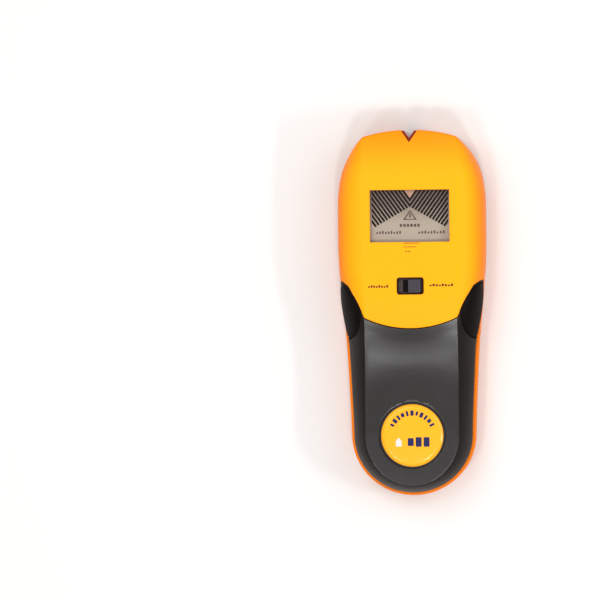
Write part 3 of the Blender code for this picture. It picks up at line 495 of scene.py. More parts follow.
def seam_region(name, shrink, forward):
    """Block that holds everything ahead of the seam, or everything behind it."""
    right = [(x, y + shrink) for x, y in seam_points()]
    outline = [(-x, y) for x, y in right[1:]][::-1] + right
    far = 100.0 if forward else -100.0
    outline += [(50.0, right[-1][1]), (50.0, far), (-50.0, far), (-50.0, right[-1][1])]
    return prism(name, outline, -5.0, 60.0)


# Section across the groove, as (distance from the seam, height over the skin).
GROOVE = [(-0.42, 1.5), (-0.42, 0.03), (-0.3, -0.09), (-0.17, -0.4), (0.17, -0.4), (0.3, -0.09), (0.42, 0.03),
          (0.42, 1.5)]
GROOVE_END_X = 33.5


def seam_groove(name):
    """Cutter that opens the seam into a shallow rounded groove."""
    right = []
    for (x0, y0), (x1, y1) in zip(seam_points(), seam_points()[1:]):
        n = 1 if x1 <= SEAM_CORNER[0] + 0.01 else 4
        right += [(x0 + (x1 - x0) * k / n, y0 + (y1 - y0) * k / n) for k in range(n)]
    right = [p for p in right if p[0] < GROOVE_END_X]
    path = [(-x, y) for x, y in right[1:]][::-1] + right
    rings = []
    for i, (x, y) in enumerate(path):
        b, a = path[max(i - 1, 0)], path[min(i + 1, len(path) - 1)]
        size = hypot(a[0] - b[0], a[1] - b[1])
        nx, ny = -(a[1] - b[1]) / size, (a[0] - b[0]) / size
        ring = []
        for d, dz in GROOVE:
            px, py = x + nx * d, y + ny * d
            ring.append((px, py, skin_height(px, py) + dz))
        rings.append(ring)
    return stack(name, rings)


def oval_path(margin):
    """Outline of a side oval in Y and Z, grown by margin."""
    upper = [(y, skin_height(x, y)) for y, x in OVAL_X]
    dense = []
    for y in [OVAL_X[0][0] + (OVAL_X[-1][0] - OVAL_X[0][0]) * k / 40 for k in range(41)]:
        dense.append((y, smooth_value(upper, y)))
    grown = []
    for i, (y, z) in enumerate(dense):
        b, a = dense[max(i - 1, 0)], dense[min(i + 1, len(dense) - 1)]
        size = hypot(a[0] - b[0], a[1] - b[1])
        grown.append((y - margin * (a[1] - b[1]) / size, z + margin * (a[0] - b[0]) / size))
    end_z = SPLIT + OVAL_CORNER - margin
    low = SPLIT + OVAL_LOW - margin
    lean = OVAL_CORNER_LEAN * margin
    corners = [(grown[-1][0] + lean, end_z), (OVAL_FLAT_Y, low), (-OVAL_FLAT_Y, low),
               (grown[0][0] - lean, end_z)]
    return grown + corners


def resample(path, count):
    """The closed path as evenly spaced points."""
    closed = path + [path[0]]
    lengths = [0.0]
    for p, q in zip(closed, closed[1:]):
        lengths.append(lengths[-1] + hypot(q[0] - p[0], q[1] - p[1]))
    out, i = [], 0
    for k in range(count):
        want = lengths[-1] * k / count
        while lengths[i + 1] < want:
            i += 1
        t = (want - lengths[i]) / max(lengths[i + 1] - lengths[i], 1e-9)
        out.append(tuple(closed[i][c] + (closed[i + 1][c] - closed[i][c]) * t for c in (0, 1)))
    return out


def relax(path):
    """Rounds the corners of a closed path."""
    for _ in range(OVAL_ROUNDS):
        path = [tuple((path[i - 1][c] + 2 * path[i][c] + path[(i + 1) % len(path)][c]) / 4 for c in (0, 1))
                for i in range(len(path))]
    return path


OVAL_POINTS = 90
OVAL_ROUNDS = 4
OVAL_OPEN = relax(resample(oval_path(OVAL_GAP), OVAL_POINTS))
OVAL_EDGE = relax(resample(oval_path(0.0), OVAL_POINTS))


def spread(point, centre, distance):
    """The point moved away from the centre."""
    dy, dz = point[0] - centre[0], point[1] - centre[1]
    size = hypot(dy, dz)
    return point[0] + dy / size * distance, point[1] + dz / size * distance


def middle(path):
    return sum(p[0] for p in path) / len(path), sum(p[1] for p in path) / len(path)


def oval_cutter(name, sign):
    """Opening for an oval, with a small chamfer where it meets the skin."""
    centre = middle(OVAL_OPEN)
    rings = [[(sign * 20.0, y, z) for y, z in OVAL_OPEN]]
    for grow, lift in ((0.0, -0.35), (0.12, -0.1), (0.35, 0.1), (0.35, 6.0)):
        ring = []
        for point in OVAL_OPEN:
            y, z = spread(point, centre, grow)
            ring.append((sign * (skin_reach(y, z) + lift), y, z))
        rings.append(ring)
    return stack(name, rings)


def notch_cutter(name):
    slope = (NOTCH_END_Y - NOTCH_TIP_Y) / NOTCH_X
    past = NOTCH_X + 3.0 / slope
    outline = [(0.0, NOTCH_TIP_Y), (past, NOTCH_END_Y + 3.0), (-past, NOTCH_END_Y + 3.0)]
    return prism(name, outline, -5.0, 60.0)


def flared(name, outline_at):
    """Straight cutter through the face that opens with a small flare at its surface."""
    rings = []
    steps = ((0.0, -8.0), (0.0, -FLARE), (FLARE * 0.3, -FLARE * 0.35), (FLARE, 0.02), (FLARE, 6.0))
    for grow, lift in steps:
        rings.append([(x, y, FACE_Z + lift) for x, y in outline_at(grow)])
    return stack(name, rings)


# -------- materials
DRIFT_SCALE = 45.0
SCUFF_SCALE = 260.0
STREAK_SCALE = 1500.0
HAZE_SCALE = 160.0
GRAIN_STRENGTH = 0.35
COAT_ROUGH = 0.12
MAT = {}


def new_material(name):
    """Adds a material to the set; gives its node tree and its shader."""
    MAT[name] = bpy.data.materials.new(name)
    MAT[name].use_nodes = True
    tree = MAT[name].node_tree
    return tree, tree.nodes["Principled BSDF"]


def object_coords(tree, scale=(1, 1, 1)):
    c = tree.nodes.new("ShaderNodeTexCoord")
    m = tree.nodes.new("ShaderNodeMapping")
    m.inputs["Scale"].default_value = scale
    tree.links.new(c.outputs["Object"], m.inputs["Vector"])
    return m.outputs["Vector"]


def noise(tree, vector, scale, detail=2.0, rough=0.5):
    n = tree.nodes.new("ShaderNodeTexNoise")
    n.inputs["Scale"].default_value = scale
    n.inputs["Detail"].default_value = detail
    n.inputs["Roughness"].default_value = rough
    tree.links.new(vector, n.inputs["Vector"])
    return n.outputs["Fac"]


def ranged(tree, value, a, b, c, d, mode="LINEAR"):
    r = tree.nodes.new("ShaderNodeMapRange")
    r.interpolation_type = mode
    for key, v in zip(("From Min", "From Max", "To Min", "To Max"), (a, b, c, d)):
        r.inputs[key].default_value = v
    tree.links.new(value, r.inputs["Value"])
    return r.outputs["Result"]


def mixed(tree, factor, a, b):
    m = tree.nodes.new("ShaderNodeMix")
    m.data_type = "RGBA"
    for socket, v in ((m.inputs["A"], a), (m.inputs["B"], b)):
        if isinstance(v, tuple):
            socket.default_value = (*v, 1.0)
        else:
            tree.links.new(v, socket)
    tree.links.new(factor, m.inputs["Factor"])
    return m.outputs["Result"]


def blend_along(tree, coords, axis, base, change):
    """Blends base into another colour along an axis, as painted shade; change is (colour, start, end) with
    places in mm.
    """
    colour, start, end = change
    split = tree.nodes.new("ShaderNodeSeparateXYZ")
    tree.links.new(coords, split.inputs[0])
    factor = ranged(tree, split.outputs[axis], start * MM, end * MM, 0.0, 1.0, "SMOOTHSTEP")
    return mixed(tree, factor, base, colour)


def plastic(name, colour, rough, grain=900.0, grain_depth=0.01, shade=0.1, coat=0.0, low=None, along=None,
            spec=0.5, scuffs=0.05):
    """Moulded plastic: slow colour drift, fine grain, and a colour that can change with height or length as
    painted shade.
    """
    tree, shader = new_material(name)
    coords = object_coords(tree)
    drift = noise(tree, coords, DRIFT_SCALE, 3.0)
    base = mixed(tree, drift, tuple(c * (1 - shade) for c in colour), colour)
    for axis, change in (("Z", low), ("Y", along)):
        if change:
            base = blend_along(tree, coords, axis, base, change)
    tree.links.new(base, shader.inputs["Base Color"])
    scuff = noise(tree, coords, SCUFF_SCALE, 4.0, 0.6)
    worn = ranged(tree, scuff, 0.3, 0.7, rough - scuffs, rough + scuffs)
    tree.links.new(worn, shader.inputs["Roughness"])
    bump = tree.nodes.new("ShaderNodeBump")
    bump.inputs["Strength"].default_value = GRAIN_STRENGTH
    bump.inputs["Distance"].default_value = grain_depth * MM
    tree.links.new(noise(tree, coords, grain, 2.0), bump.inputs["Height"])
    tree.links.new(bump.outputs["Normal"], shader.inputs["Normal"])
    shader.inputs["Coat Weight"].default_value = coat
    shader.inputs["Coat Roughness"].default_value = COAT_ROUGH
    shader.inputs["Specular IOR Level"].default_value = spec


def metal(name, colour, rough, streak=(1, 1, 1)):
    """Metal with fine streaks in its colour and roughness."""
    tree, shader = new_material(name)
    coords = object_coords(tree, streak)
    lines = noise(tree, coords, STREAK_SCALE, 3.0)
    tree.links.new(mixed(tree, lines, tuple(c * 0.8 for c in colour), colour), shader.inputs["Base Color"])
    tree.links.new(ranged(tree, lines, 0.3, 0.7, rough - 0.06, rough + 0.1), shader.inputs["Roughness"])
    shader.inputs["Metallic"].default_value = 1.0


def clear(name, colour, alpha, rough):
    """Thin clear plastic with a faint haze."""
    tree, shader = new_material(name)
    coords = object_coords(tree)
    haze = noise(tree, coords, HAZE_SCALE, 3.0)
    tree.links.new(ranged(tree, haze, 0.3, 0.8, rough, rough + 0.05), shader.inputs["Roughness"])
    shader.inputs["Base Color"].default_value = (*colour, 1.0)
    shader.inputs["Alpha"].default_value = alpha


YELLOW = (0.96, 0.375, 0.006)
# Painted shade: the yellow turns deeper orange lower down the flanks, where less light falls.
FLANK_PAINTED_SHADE = (0.90, 0.21, 0.002)
# Painted shade: the yellow turns orange towards the nose, where the face slopes away from the light.
NOSE_PAINTED_SHADE = (0.90, 0.235, 0.003)
# Painted shade: the display's reflector darkens towards its top, shaded by the window's recess.
LCD_PAINTED_SHADE = (0.19, 0.14, 0.115)
plastic("yellow_abs", YELLOW, 0.42, 1500.0, 0.02, 0.04, low=(FLANK_PAINTED_SHADE, 33.4, 22.0),
        along=(NOSE_PAINTED_SHADE, 64.0, 90.0), spec=0.06)
# Lower housing and battery door: the head's yellow painted darker orange, as shade on the side walls.
plastic("yellow_abs_lower_painted_shade", (0.86, 0.19, 0.003), 0.42, 1500.0, 0.02, 0.06, spec=0.08)
plastic("black_grip", (0.013, 0.0105, 0.0105), 0.27, 2200.0, 0.010, 0.15, spec=0.34, scuffs=0.012)
# Painted shade: a darker copy of the grip for its sloping side facets.
plastic("black_grip_side_painted_shade", (0.009, 0.006, 0.005), 0.36, 2200.0, 0.012, 0.15, spec=0.11, scuffs=0.02)
plastic("black_rubber", (0.005, 0.003, 0.003), 0.46, 2600.0, 0.015, 0.2, spec=0.045)
plastic("badge_face", (0.96, 0.385, 0.008), 0.18, 900.0, 0.003, 0.03, spec=0.3, scuffs=0.02)
plastic("navy_print", (0.010, 0.013, 0.075), 0.35, 900.0, 0.004, 0.1, spec=0.15)
plastic("white_print", (0.62, 0.60, 0.58), 0.35, 900.0, 0.004, 0.05)
plastic("brown_print", (0.16, 0.03, 0.004), 0.45, 900.0, 0.004, 0.1, spec=0.15)
plastic("black_print", (0.05, 0.02, 0.004), 0.45, 900.0, 0.004, 0.1, spec=0.15)
plastic("lcd_reflector", (0.395, 0.335, 0.272), 0.3, 500.0, 0.003, 0.05, along=(LCD_PAINTED_SHADE, 41.0, 57.0),
        spec=0.2)
plastic("lcd_segment", (0.010, 0.005, 0.004), 0.3, 500.0, 0.003, 0.1, spec=0.1)
plastic("lcd_pointer", (0.50, 0.31, 0.22), 0.3, 500.0, 0.003, 0.1, spec=0.1)
plastic("lcd_faint", (0.10, 0.07, 0.055), 0.3, 500.0, 0.003, 0.1, spec=0.1)
# Near-black bezel: partly its own colour, partly painted shade at the slot's edge.
plastic("black_bezel_painted_shade", (0.022, 0.008, 0.004), 0.45, spec=0.08)
plastic("switch_knob", (0.036, 0.033, 0.044), 0.42, 1200.0, 0.02, 0.1, spec=0.3)
plastic("switch_floor", (0.050, 0.036, 0.034), 0.5, 1200.0, 0.02, 0.1, spec=0.15)
plastic("white_moulding", (0.7, 0.69, 0.66), 0.45, 900.0, 0.01, 0.05)
plastic("solder_mask", (0.01, 0.14, 0.05), 0.3, 300.0, 0.02, 0.3)
plastic("black_moulding", (0.02, 0.02, 0.02), 0.5, 1200.0, 0.02, 0.15)
plastic("battery_film", (0.05, 0.055, 0.075), 0.25, 300.0, 0.01, 0.1, coat=0.4)
plastic("foam", (0.03, 0.03, 0.03), 0.95, 1400.0, 0.35, 0.4)
plastic("felt", (0.03, 0.03, 0.032), 0.95, 3000.0, 0.2, 0.4)
plastic("contact_rubber", (0.4, 0.09, 0.14), 0.6, 900.0, 0.02, 0.2)
plastic("red_pvc", (0.55, 0.01, 0.01), 0.4)
plastic("black_pvc", (0.015, 0.015, 0.015), 0.4)
plastic("capacitor_sleeve", (0.02, 0.03, 0.12), 0.3)
plastic("tact_plunger", (0.6, 0.57, 0.5), 0.4)
metal("zinc_steel", (0.55, 0.55, 0.56), 0.32)
metal("nickel_plate", (0.72, 0.70, 0.65), 0.22)
metal("bare_copper", (0.82, 0.42, 0.24), 0.3, (1, 0.05, 1))
clear("window_acrylic", (0.05, 0.05, 0.05), 0.04, 0.04)
plastic("red_acrylic", (0.24, 0.010, 0.004), 0.14, 500.0, 0.003, 0.2, coat=0.3, spec=0.3)
plastic("red_epoxy", (0.45, 0.01, 0.008), 0.1, 500.0, 0.003, 0.1, coat=0.6)


def paint(obj, key):
    """Gives the piece one material."""
    obj.data.materials.clear()
    obj.data.materials.append(MAT[key])
    return obj


# -------- shells
SIDE_NORMAL = 0.93     # faces that lean further than this take the grip's darker copy, painted shade on the facets
POST_R = 3.3
SCREW_HOLE_R = 1.75
HEAD_WELL_R = 3.1
PAD_WELL_R = 4.3
BAY_X = 15.35          # inner and outer sides of the ribs beside the battery
BAY_OUT_X = 17.2
DOOR_X = 15.0
DOOR_LOW_Y = -79.6
DOOR_TOP_Y = -18.7
HINGE_Y = -20.6
HINGE_Z = 1.6
PIN_BORE_R = 0.85
PIN_BORE_X = 17.7


def window_outline(grow):
    return rect(-WINDOW_X - grow, WINDOW_LOW - grow, WINDOW_X + grow, WINDOW_TOP + grow)


def slot_outline(grow):
    return rounded(SLOT_X + grow, SLOT_HALF_Y + grow, SLOT_R + grow, (0.0, SLOT_Y))


def badge_ring(radius, z=0.0):
    return circle(radius, z, (0.0, BADGE_Y))


def badge_well_rings():
    """Well for the badge, with a small chamfer that follows the face."""
    rings = [badge_ring(WELL_R, WELL_Z)]
    for grow, dz in ((0.0, -0.3), (0.1, -0.1), (0.35, 0.04), (0.35, 5.0)):
        rings.append([(x, y, face_height(x, y) + dz) for x, y, _ in badge_ring(WELL_R + grow)])
    return rings


def build_upper_shells():
    """Yellow head and black handle cover, cut from one skin along the seam."""
    head = upper_form("skin")
    hollow = upper_form("hollow", WALL, SPLIT - 2.0, fine=False)
    ovals = [oval_cutter("oval_r", 1.0), oval_cutter("oval_l", -1.0)]
    groove = seam_groove("groove")
    cut(head, hollow, *ovals)
    cover = head.copy()
    cover.data = head.data.copy()
    LOOKS.objects.link(cover)
    head.name, cover.name = "front_housing_skin", "handle_cover_skin"

    window = flared("window_cut", window_outline)
    slot = flared("slot_cut", slot_outline)
    region = seam_region("head_region", SEAM / 2, True)
    notch = notch_cutter("notch_cut")
    cut(head, region, operation="INTERSECT")
    cut(head, groove, window, slot, notch)
    drop(window, slot, region, notch)

    region = seam_region("handle_region", -SEAM / 2, False)
    cut(cover, region, operation="INTERSECT")
    cut(cover, groove)
    seat_r = WELL_R + 1.6
    seat = stack("badge_seat", [badge_ring(seat_r, WELL_Z - 1.9), badge_ring(seat_r, WELL_Z + 0.5)])
    cut(cover, seat, operation="UNION")
    well = stack("badge_well", badge_well_rings())
    cut(cover, well)
    drop(region, seat, well, hollow, groove, *ovals)
    ride(paint(smooth(head), "yellow_abs"), stands_for=["front_housing"])
    ride(paint(smooth(cover), "black_grip"), stands_for=["handle_cover"])
    # Faces that lean away from the top take the darker copy, painted shade on the facets.
    cover.data.materials.append(MAT["black_grip_side_painted_shade"])
    for face in cover.data.polygons:
        if face.normal.z < SIDE_NORMAL:
            face.material_index = 1


def bay_walls():
    """Ribs round the battery and posts for the screws."""
    walls = []
    for sign in (1.0, -1.0):
        low_x, high_x = sorted((sign * BAY_X, sign * BAY_OUT_X))
        walls.append(box("rib", (low_x, -80.5, 1.2), (high_x, -16.6, 13.0)))
    walls.append(box("cross", (-16.7, -18.4, 1.2), (16.7, -16.8, 10.0)))
    walls += [stack("post", [circle(POST_R, z, spot, 32) for z in (1.2, 15.0)]) for spot in SCREWS]
    return walls


def well_cutter(name, radius, chamfer, depth, centre, sides):
    """Round well in the back with a chamfered mouth."""
    steps = ((radius + chamfer, -1.0), (radius + chamfer, 0.0), (radius, chamfer), (radius, depth))
    return stack(name, [circle(r, z, centre, sides) for r, z in steps])


def back_cutters():
    """Everything that is cut from the lower housing: screw and pad wells, door, catch, notch, hinge bore."""
    cutters = []
    for spot in SCREWS:
        cutters += [stack("bore", [circle(SCREW_HOLE_R, z, spot, 28) for z in (-2.0, 19.0)]),
                    well_cutter("well", HEAD_WELL_R, 0.3, 2.6, spot, 40)]
    cutters += [well_cutter("pad_well", PAD_WELL_R, 0.1, 0.6, spot, 48) for spot in PADS]
    cutters += [box("door_hole", (-DOOR_X, DOOR_LOW_Y, -2.0), (DOOR_X, DOOR_TOP_Y, 3.2)),
                box("catch", (-4.6, -81.8, -2.0), (4.6, -78.7, 1.1)), notch_cutter("notch_low")]
    bore = [(HINGE_Y + PIN_BORE_R * cos(a), HINGE_Z + PIN_BORE_R * sin(a)) for a in turns(24)]
    cutters.append(stack("pin_bore", [[(x, y, z) for y, z in bore] for x in (-PIN_BORE_X, PIN_BORE_X)]))
    return cutters


def build_lower_shell():
    shell = lower_form("back_housing_skin")
    hollow = lower_form("low_hollow", WALL, FLOOR, fine=False)
    cut(shell, hollow)
    walls = bay_walls()
    for wall in walls:
        cut(shell, wall, operation="UNION")
    cutters = back_cutters()
    cut(shell, *cutters)
    drop(hollow, *walls, *cutters)
    ride(paint(smooth(shell), "yellow_abs_lower_painted_shade"), stands_for=["back_housing"])


# -------- side ovals
RING_SHARES = [1.0, 0.985, 0.965, 0.93, 0.88, 0.8, 0.7, 0.6, 0.48, 0.36, 0.24, 0.12, 0.0]
PUFF = 0.68            # bulge of the face over the flank, and how far its edge rolls in
EDGE_SINK = 0.9
EDGE_SHARE = 0.9
FACE_BACK = 1.6        # depths behind the flank
FACE_UNDER = 2.15
FLANGE_TOP = 2.5
FLANGE_BACK = 3.1
INNER_BACK = 3.2
INNER_SHARE = 0.85
FLANGE_GROW = 0.9      # the flange behind the opening's lower part, which fades out higher up
FLANGE_FADE_Z = 21.0
FLANGE_FADE = 4.0
STEM_Y = -2.0
STEM_Z = 19.0
STEM_PROFILE = [(-30.5, 1.6), (-23.1, 1.6), (-22.9, 1.4)]
RIB_TOPS = (28.3, 29.2, 29.4, 29.2)
RIB_BASE_Z = 26.6
RIB_START_Y = -6.3
RIB_PITCH = 1.9


def oval_rings(sign):
    """Rings of an oval cap, from the back of its flange round the edge to the middle of its face."""
    cy, cz = middle(OVAL_EDGE)
    cz += 0.5
    face = []
    for share in RING_SHARES:
        past_edge = max(0.0, (share - EDGE_SHARE) / (1.0 - EDGE_SHARE))
        puff = PUFF * (1 - share ** 5) - EDGE_SINK * past_edge ** 2.2
        ring = [(cy + (y - cy) * share, cz + (z - cz) * share) for y, z in OVAL_EDGE]
        face.append([(sign * (skin_reach(y, z) + puff), y, z) for y, z in ring])
    back = [(sign * (abs(x) - FACE_BACK), y, z) for x, y, z in face[0]]
    under = [(sign * (abs(x) - FACE_UNDER), y, z) for x, y, z in face[0]]
    flange = []
    for depth in (FLANGE_BACK, FLANGE_TOP):
        ring = []
        for y, z in OVAL_EDGE:
            grow = FLANGE_GROW * (1.0 - eased((z - FLANGE_FADE_Z) / FLANGE_FADE))
            gy, gz = spread((y, z), (cy, cz), grow)
            ring.append((sign * (min(skin_reach(y, z), skin_reach(gy, gz)) - depth), gy, gz))
        flange.append(ring)
    inner = []
    for y, z in OVAL_EDGE:
        iy, iz = cy + (y - cy) * INNER_SHARE, cz + (z - cz) * INNER_SHARE
        inner.append((sign * (skin_reach(iy, iz) - INNER_BACK), iy, iz))
    return [inner] + flange + [under, back] + face


def build_oval(name, sign, node, body=BODY):
    """Rubbery oval let into the flank, held by a flange behind its opening."""
    cap = stack(name, oval_rings(sign), cap="first")
    ride(paint(smooth(cap, 40), "black_rubber"), body, [node])


def build_power_key():
    """The left oval is the power button: it has a stem towards its switch, and ribs for the thumb."""
    name, slot, body = "power_key_cap", "black_key", "power_button"
    build_oval(name, -1.0, "power_button", body)
    rings = []
    for x, r in STEM_PROFILE:
        rings.append([(x, STEM_Y + u, STEM_Z + v) for u, v, _ in circle(r, 0.0, sides=32)])
    ride(paint(smooth(stack(f"{name}_stem", rings)), "black_rubber"), body)
    for k, top in enumerate(RIB_TOPS):
        rib = rib_on_flank(f"{name}_rib_{k + 1}", -1.0, RIB_START_Y + RIB_PITCH * k, RIB_BASE_Z, top)
        ride(paint(smooth(rib, 60), "black_rubber"), body)


def rib_on_flank(name, sign, y, z0, z1):
    """Low rounded rib running up the oval."""
    rings = []
    steps = 14
    for k in range(steps + 1):
        t = k / steps
        z = z0 + (z1 - z0) * t
        swell = sqrt(max(1 - (2 * t - 1) ** 4, 0.02))
        x = skin_reach(y, z) + 0.55
        rx, ry = 0.42 * swell, 0.45 * swell
        rings.append([(sign * (x + rx * cos(a)), y + ry * sin(a), z) for a in turns(12)])
    return stack(name, rings)


# -------- display
LCD_Z = 29.2
INK = 0.05
INK_LIFT = 0.005
PRINT_Z = FACE_Z - 0.004
PRINT = 0.02
STRIPES = 14
STRIPE_X = 4.1         # first stripe, spacing and width along the display's top edge
STRIPE_PITCH = 1.95
STRIPE_WIDTH = 1.3
STRIPE_RUN = 30.0
STRIPE_END_X = 18.4
STRIPE_LEAN = tan(radians(54.5))
POINTER_X = 2.75
POINTER_DEPTH = 3.9
PANE = (21.2, 14.6, 0.8)
PANE_Y = 45.6
PANE_CHAMFER = 0.12


def clip_line(poly, keep):
    """Clips a convex outline by keep(point) >= 0 (linear)."""
    out = []
    for i, p in enumerate(poly):
        q = poly[(i + 1) % len(poly)]
        a, b = keep(p), keep(q)
        if a >= 0:
            out.append(p)
        if (a >= 0) != (b >= 0):
            t = a / (a - b)
            out.append((p[0] + (q[0] - p[0]) * t, p[1] + (q[1] - p[1]) * t))
    return out


def lcd_height(x, y):
    return LCD_Z


def print_height(x, y):
    return PRINT_Z


def merged_plates(name, outlines, key, thick=INK, height=lcd_height):
    """One piece of thin raised shapes that lie on a surface."""
    points, faces = [], []
    for outline in outlines:
        n, start = len(outline), len(points)
        points += [(x, y, height(x, y) + INK_LIFT) for x, y in outline]
        points += [(x, y, height(x, y) + thick) for x, y in outline]
        faces += [tuple(start + i for i in range(n))[::-1], tuple(start + n + i for i in range(n))]
        for i in range(n):
            j = (i + 1) % n
            faces.append((start + i, start + j, start + n + j, start + n + i))
    obj = mesh_piece(name, points, faces)
    return ride(paint(obj, key))


def rect(x0, y0, x1, y1):
    return [(x0, y0), (x1, y0), (x1, y1), (x0, y1)]


def lcd_stripes():
    """Sloping stripes to both sides of the pointer, cut off along a shallow V."""
    stripes = []
    for side in (1, -1):
        for k in range(STRIPES):
            x_top = STRIPE_X + STRIPE_PITCH * k
            x_low = x_top - STRIPE_RUN / STRIPE_LEAN
            y_low = WINDOW_TOP - STRIPE_RUN
            poly = [(x_top, WINDOW_TOP), (x_top - STRIPE_WIDTH, WINDOW_TOP), (x_low - STRIPE_WIDTH, y_low),
                    (x_low, y_low)]
            v_depth, v_slope = (8.0, 0.58) if k else (6.4, 0.0)
            poly = clip_line(poly, lambda p: p[0])
            poly = clip_line(poly, lambda p: STRIPE_END_X - p[0])
            poly = clip_line(poly, lambda p: p[1] - (WINDOW_TOP - v_depth - v_slope * p[0]))
            if len(poly) > 2:
                stripes.append([(side * x, y) for x, y in (poly if side == 1 else poly[::-1])])
    return stripes


def row_of_bars(x0, x1, y, count, low, rise, share, step):
    """Bars of three heights that take turns along a row."""
    wide = (x1 - x0) / count
    bars = []
    for k in range(count):
        tall = low + rise * ((k * step) % 3) / 2
        bars.append(rect(x0 + wide * k, y, x0 + wide * k + wide * share, y + tall))
    return bars


def lcd_symbols():
    """Triangle with a bar in it, a row of blocks under it, and two rows of bars at the bottom."""
    apex, base, half, line = WINDOW_TOP - 9.6, WINDOW_TOP - 14.3, 3.3, 0.42
    tip = (0.0, apex)
    inner_tip = (0.0, apex - 2.1 * line)
    symbols = [[tip, (-half, base), (-half + 2 * line, base), inner_tip],
               [tip, inner_tip, (half - 2 * line, base), (half, base)],
               rect(-half + 0.5, base, half - 0.5, base + line),
               rect(-0.35, base + 1.0, 0.35, apex - 1.6)]
    for k in range(6):
        x = -4.9 + 1.68 * k
        symbols.append(rect(x, WINDOW_TOP - 17.7, x + 1.15, WINDOW_TOP - 16.3))
    for x0, x1 in ((-16.2, -3.8), (4.0, 17.2)):
        symbols += row_of_bars(x0, x1, WINDOW_TOP - 21.0, 9, 0.9, 0.55, 0.55, 7)
    return symbols


def build_display():
    merged_plates("lcd_chevrons", lcd_stripes(), "lcd_segment")
    pointer = [(-POINTER_X, WINDOW_TOP), (0.0, WINDOW_TOP - POINTER_DEPTH), (POINTER_X, WINDOW_TOP)]
    merged_plates("lcd_pointer", [pointer], "lcd_pointer")
    merged_plates("lcd_marks", lcd_symbols(), "lcd_faint")
    low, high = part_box("display_window")
    z0, z1 = low.z / MM - SHIFT_Z, high.z / MM - SHIFT_Z
    half_x, half_y, r = PANE
    full = rounded(half_x, half_y, r, (0.0, PANE_Y), 5)
    small = rounded(half_x - 0.15, half_y - 0.15, r - 0.1, (0.0, PANE_Y), 5)
    levels = ((small, z0), (full, z0 + PANE_CHAMFER), (full, z1 - PANE_CHAMFER), (small, z1))
    pane = stack("display_pane", [[(x, y, z) for x, y in outline] for outline, z in levels])
    ride(paint(smooth(pane), "window_acrylic"), stands_for=["display_window"])


def build_face_marks():
    """Generic print on the face: dashes under the display, and bars by each side of the slot."""
    dashes = []
    for x0, x1, y, tall in ((-2.9, 4.5, 32.55, 0.42), (-2.9, 3.0, 30.75, 0.40), (-2.2, 0.4, 28.6, 0.40)):
        count = max(2, int((x1 - x0) / 0.95))
        dashes += row_of_bars(x0, x1, y - tall / 2, count, tall, 0.0, 0.82, 0)
    merged_plates("face_dashes", dashes, "brown_print", PRINT, print_height)
    bars = []
    for x0, x1, y in ((-20.2, -10.2, 11.3), (9.3, 21.0, 11.75)):
        bars += row_of_bars(x0, x1, y, 8, 0.75, 0.5, 0.7, 5)
    merged_plates("mode_bars", bars, "black_print", PRINT, print_height)


# -------- slide switch
# Section of the bezel, inside then outside, as (half width, half depth, corner radius, height); its
# near-black is partly the bezel's own, partly painted shade at the slot's edge.
BEZEL = [(5.65, 3.4, 0.8, 30.4), (5.65, 3.4, 0.8, 32.25), (5.85, 3.55, 0.9, 32.42),
         (6.2, 3.85, 1.1, 32.42), (6.35, 3.95, 1.2, 32.2), (6.35, 3.95, 1.2, 30.4)]
KNOB_X = 1.95
KNOB_HALF_X = 3.0
KNOB_HALF_Y = 3.2
KNOB_PROFILE = [(0.25, 30.8), (0.0, 30.95), (0.0, 32.15), (0.12, 32.45), (0.4, 32.58)]
KNOB_GROOVES = 5


def slot_ring(half_x, half_y, r, z):
    return [(x, y, z) for x, y in rounded(half_x, half_y, r, (0.0, SLOT_Y))]


def build_slot_bezel():
    """Dark ring that lines the slot, as a closed loop of its section; partly a bezel, partly painted shade at
    the slot's edge.
    """
    rings = [slot_ring(*level) for level in BEZEL]
    n = len(rings[0])
    faces = []
    for j in range(len(rings)):
        after = (j + 1) % len(rings)
        for i in range(n):
            k = (i + 1) % n
            faces.append((j * n + i, j * n + k, after * n + k, after * n + i))
    bezel = mesh_piece("slot_bezel_painted_shade", [p for ring in rings for p in ring], faces)
    ride(paint(smooth(bezel), "black_bezel_painted_shade"))


def build_switch():
    """Slide switch: bezel, slotted floor, and a knob with a dark shutter under the floor that follows it; the
    shutter is partly a dust cover, partly painted shade in the slot's gap.
    """
    build_slot_bezel()
    floor = prism("slot_floor", rounded(5.5, 3.3, 0.7, (0.0, SLOT_Y)), 30.45, 30.7)
    hole = box("slot_floor_hole", (-3.6, SLOT_Y - 2.9, 30.0), (3.6, SLOT_Y + 2.9, 31.5))
    cut(floor, hole)
    drop(hole)
    ride(paint(floor, "switch_floor"))

    # The dark shutter is partly a dust cover, partly painted shade for the shadow in the slot's gap.
    shutter = prism("switch_shutter_painted_shade", rounded(7.4, 3.3, 0.5, (KNOB_X, SLOT_Y), 4), 30.1, 30.35)
    ride(paint(shutter, "black_rubber"), "mode_switch_knob")

    rings = []
    for inset, z in KNOB_PROFILE:
        outline = rounded(KNOB_HALF_X - inset, KNOB_HALF_Y - inset, 0.5, (KNOB_X, SLOT_Y), 5)
        rings.append([(x, y, z) for x, y in outline])
    knob = stack("mode_knob", rings)
    for k in range(KNOB_GROOVES):
        x = KNOB_X - 1.9 + 0.95 * k
        groove = box("g", (x - 0.2, SLOT_Y - 2.6, 32.2), (x + 0.2, SLOT_Y + 2.6, 34.0))
        cut(knob, groove)
        drop(groove)
    stem = box("stem", (KNOB_X - 1.2, SLOT_Y - 1.1, 26.4), (KNOB_X + 1.2, SLOT_Y + 1.1, 31.3))
    cut(knob, stem, operation="UNION")
    drop(stem)
    ride(paint(smooth(knob), "switch_knob"), "mode_switch_knob", ["mode_switch_knob"])


# -------- badge
BADGE_BASE_Z = 26.85
BADGE_RIM_Z = 28.0
BADGE_CROWN = 0.4
DOME_R = 14.0
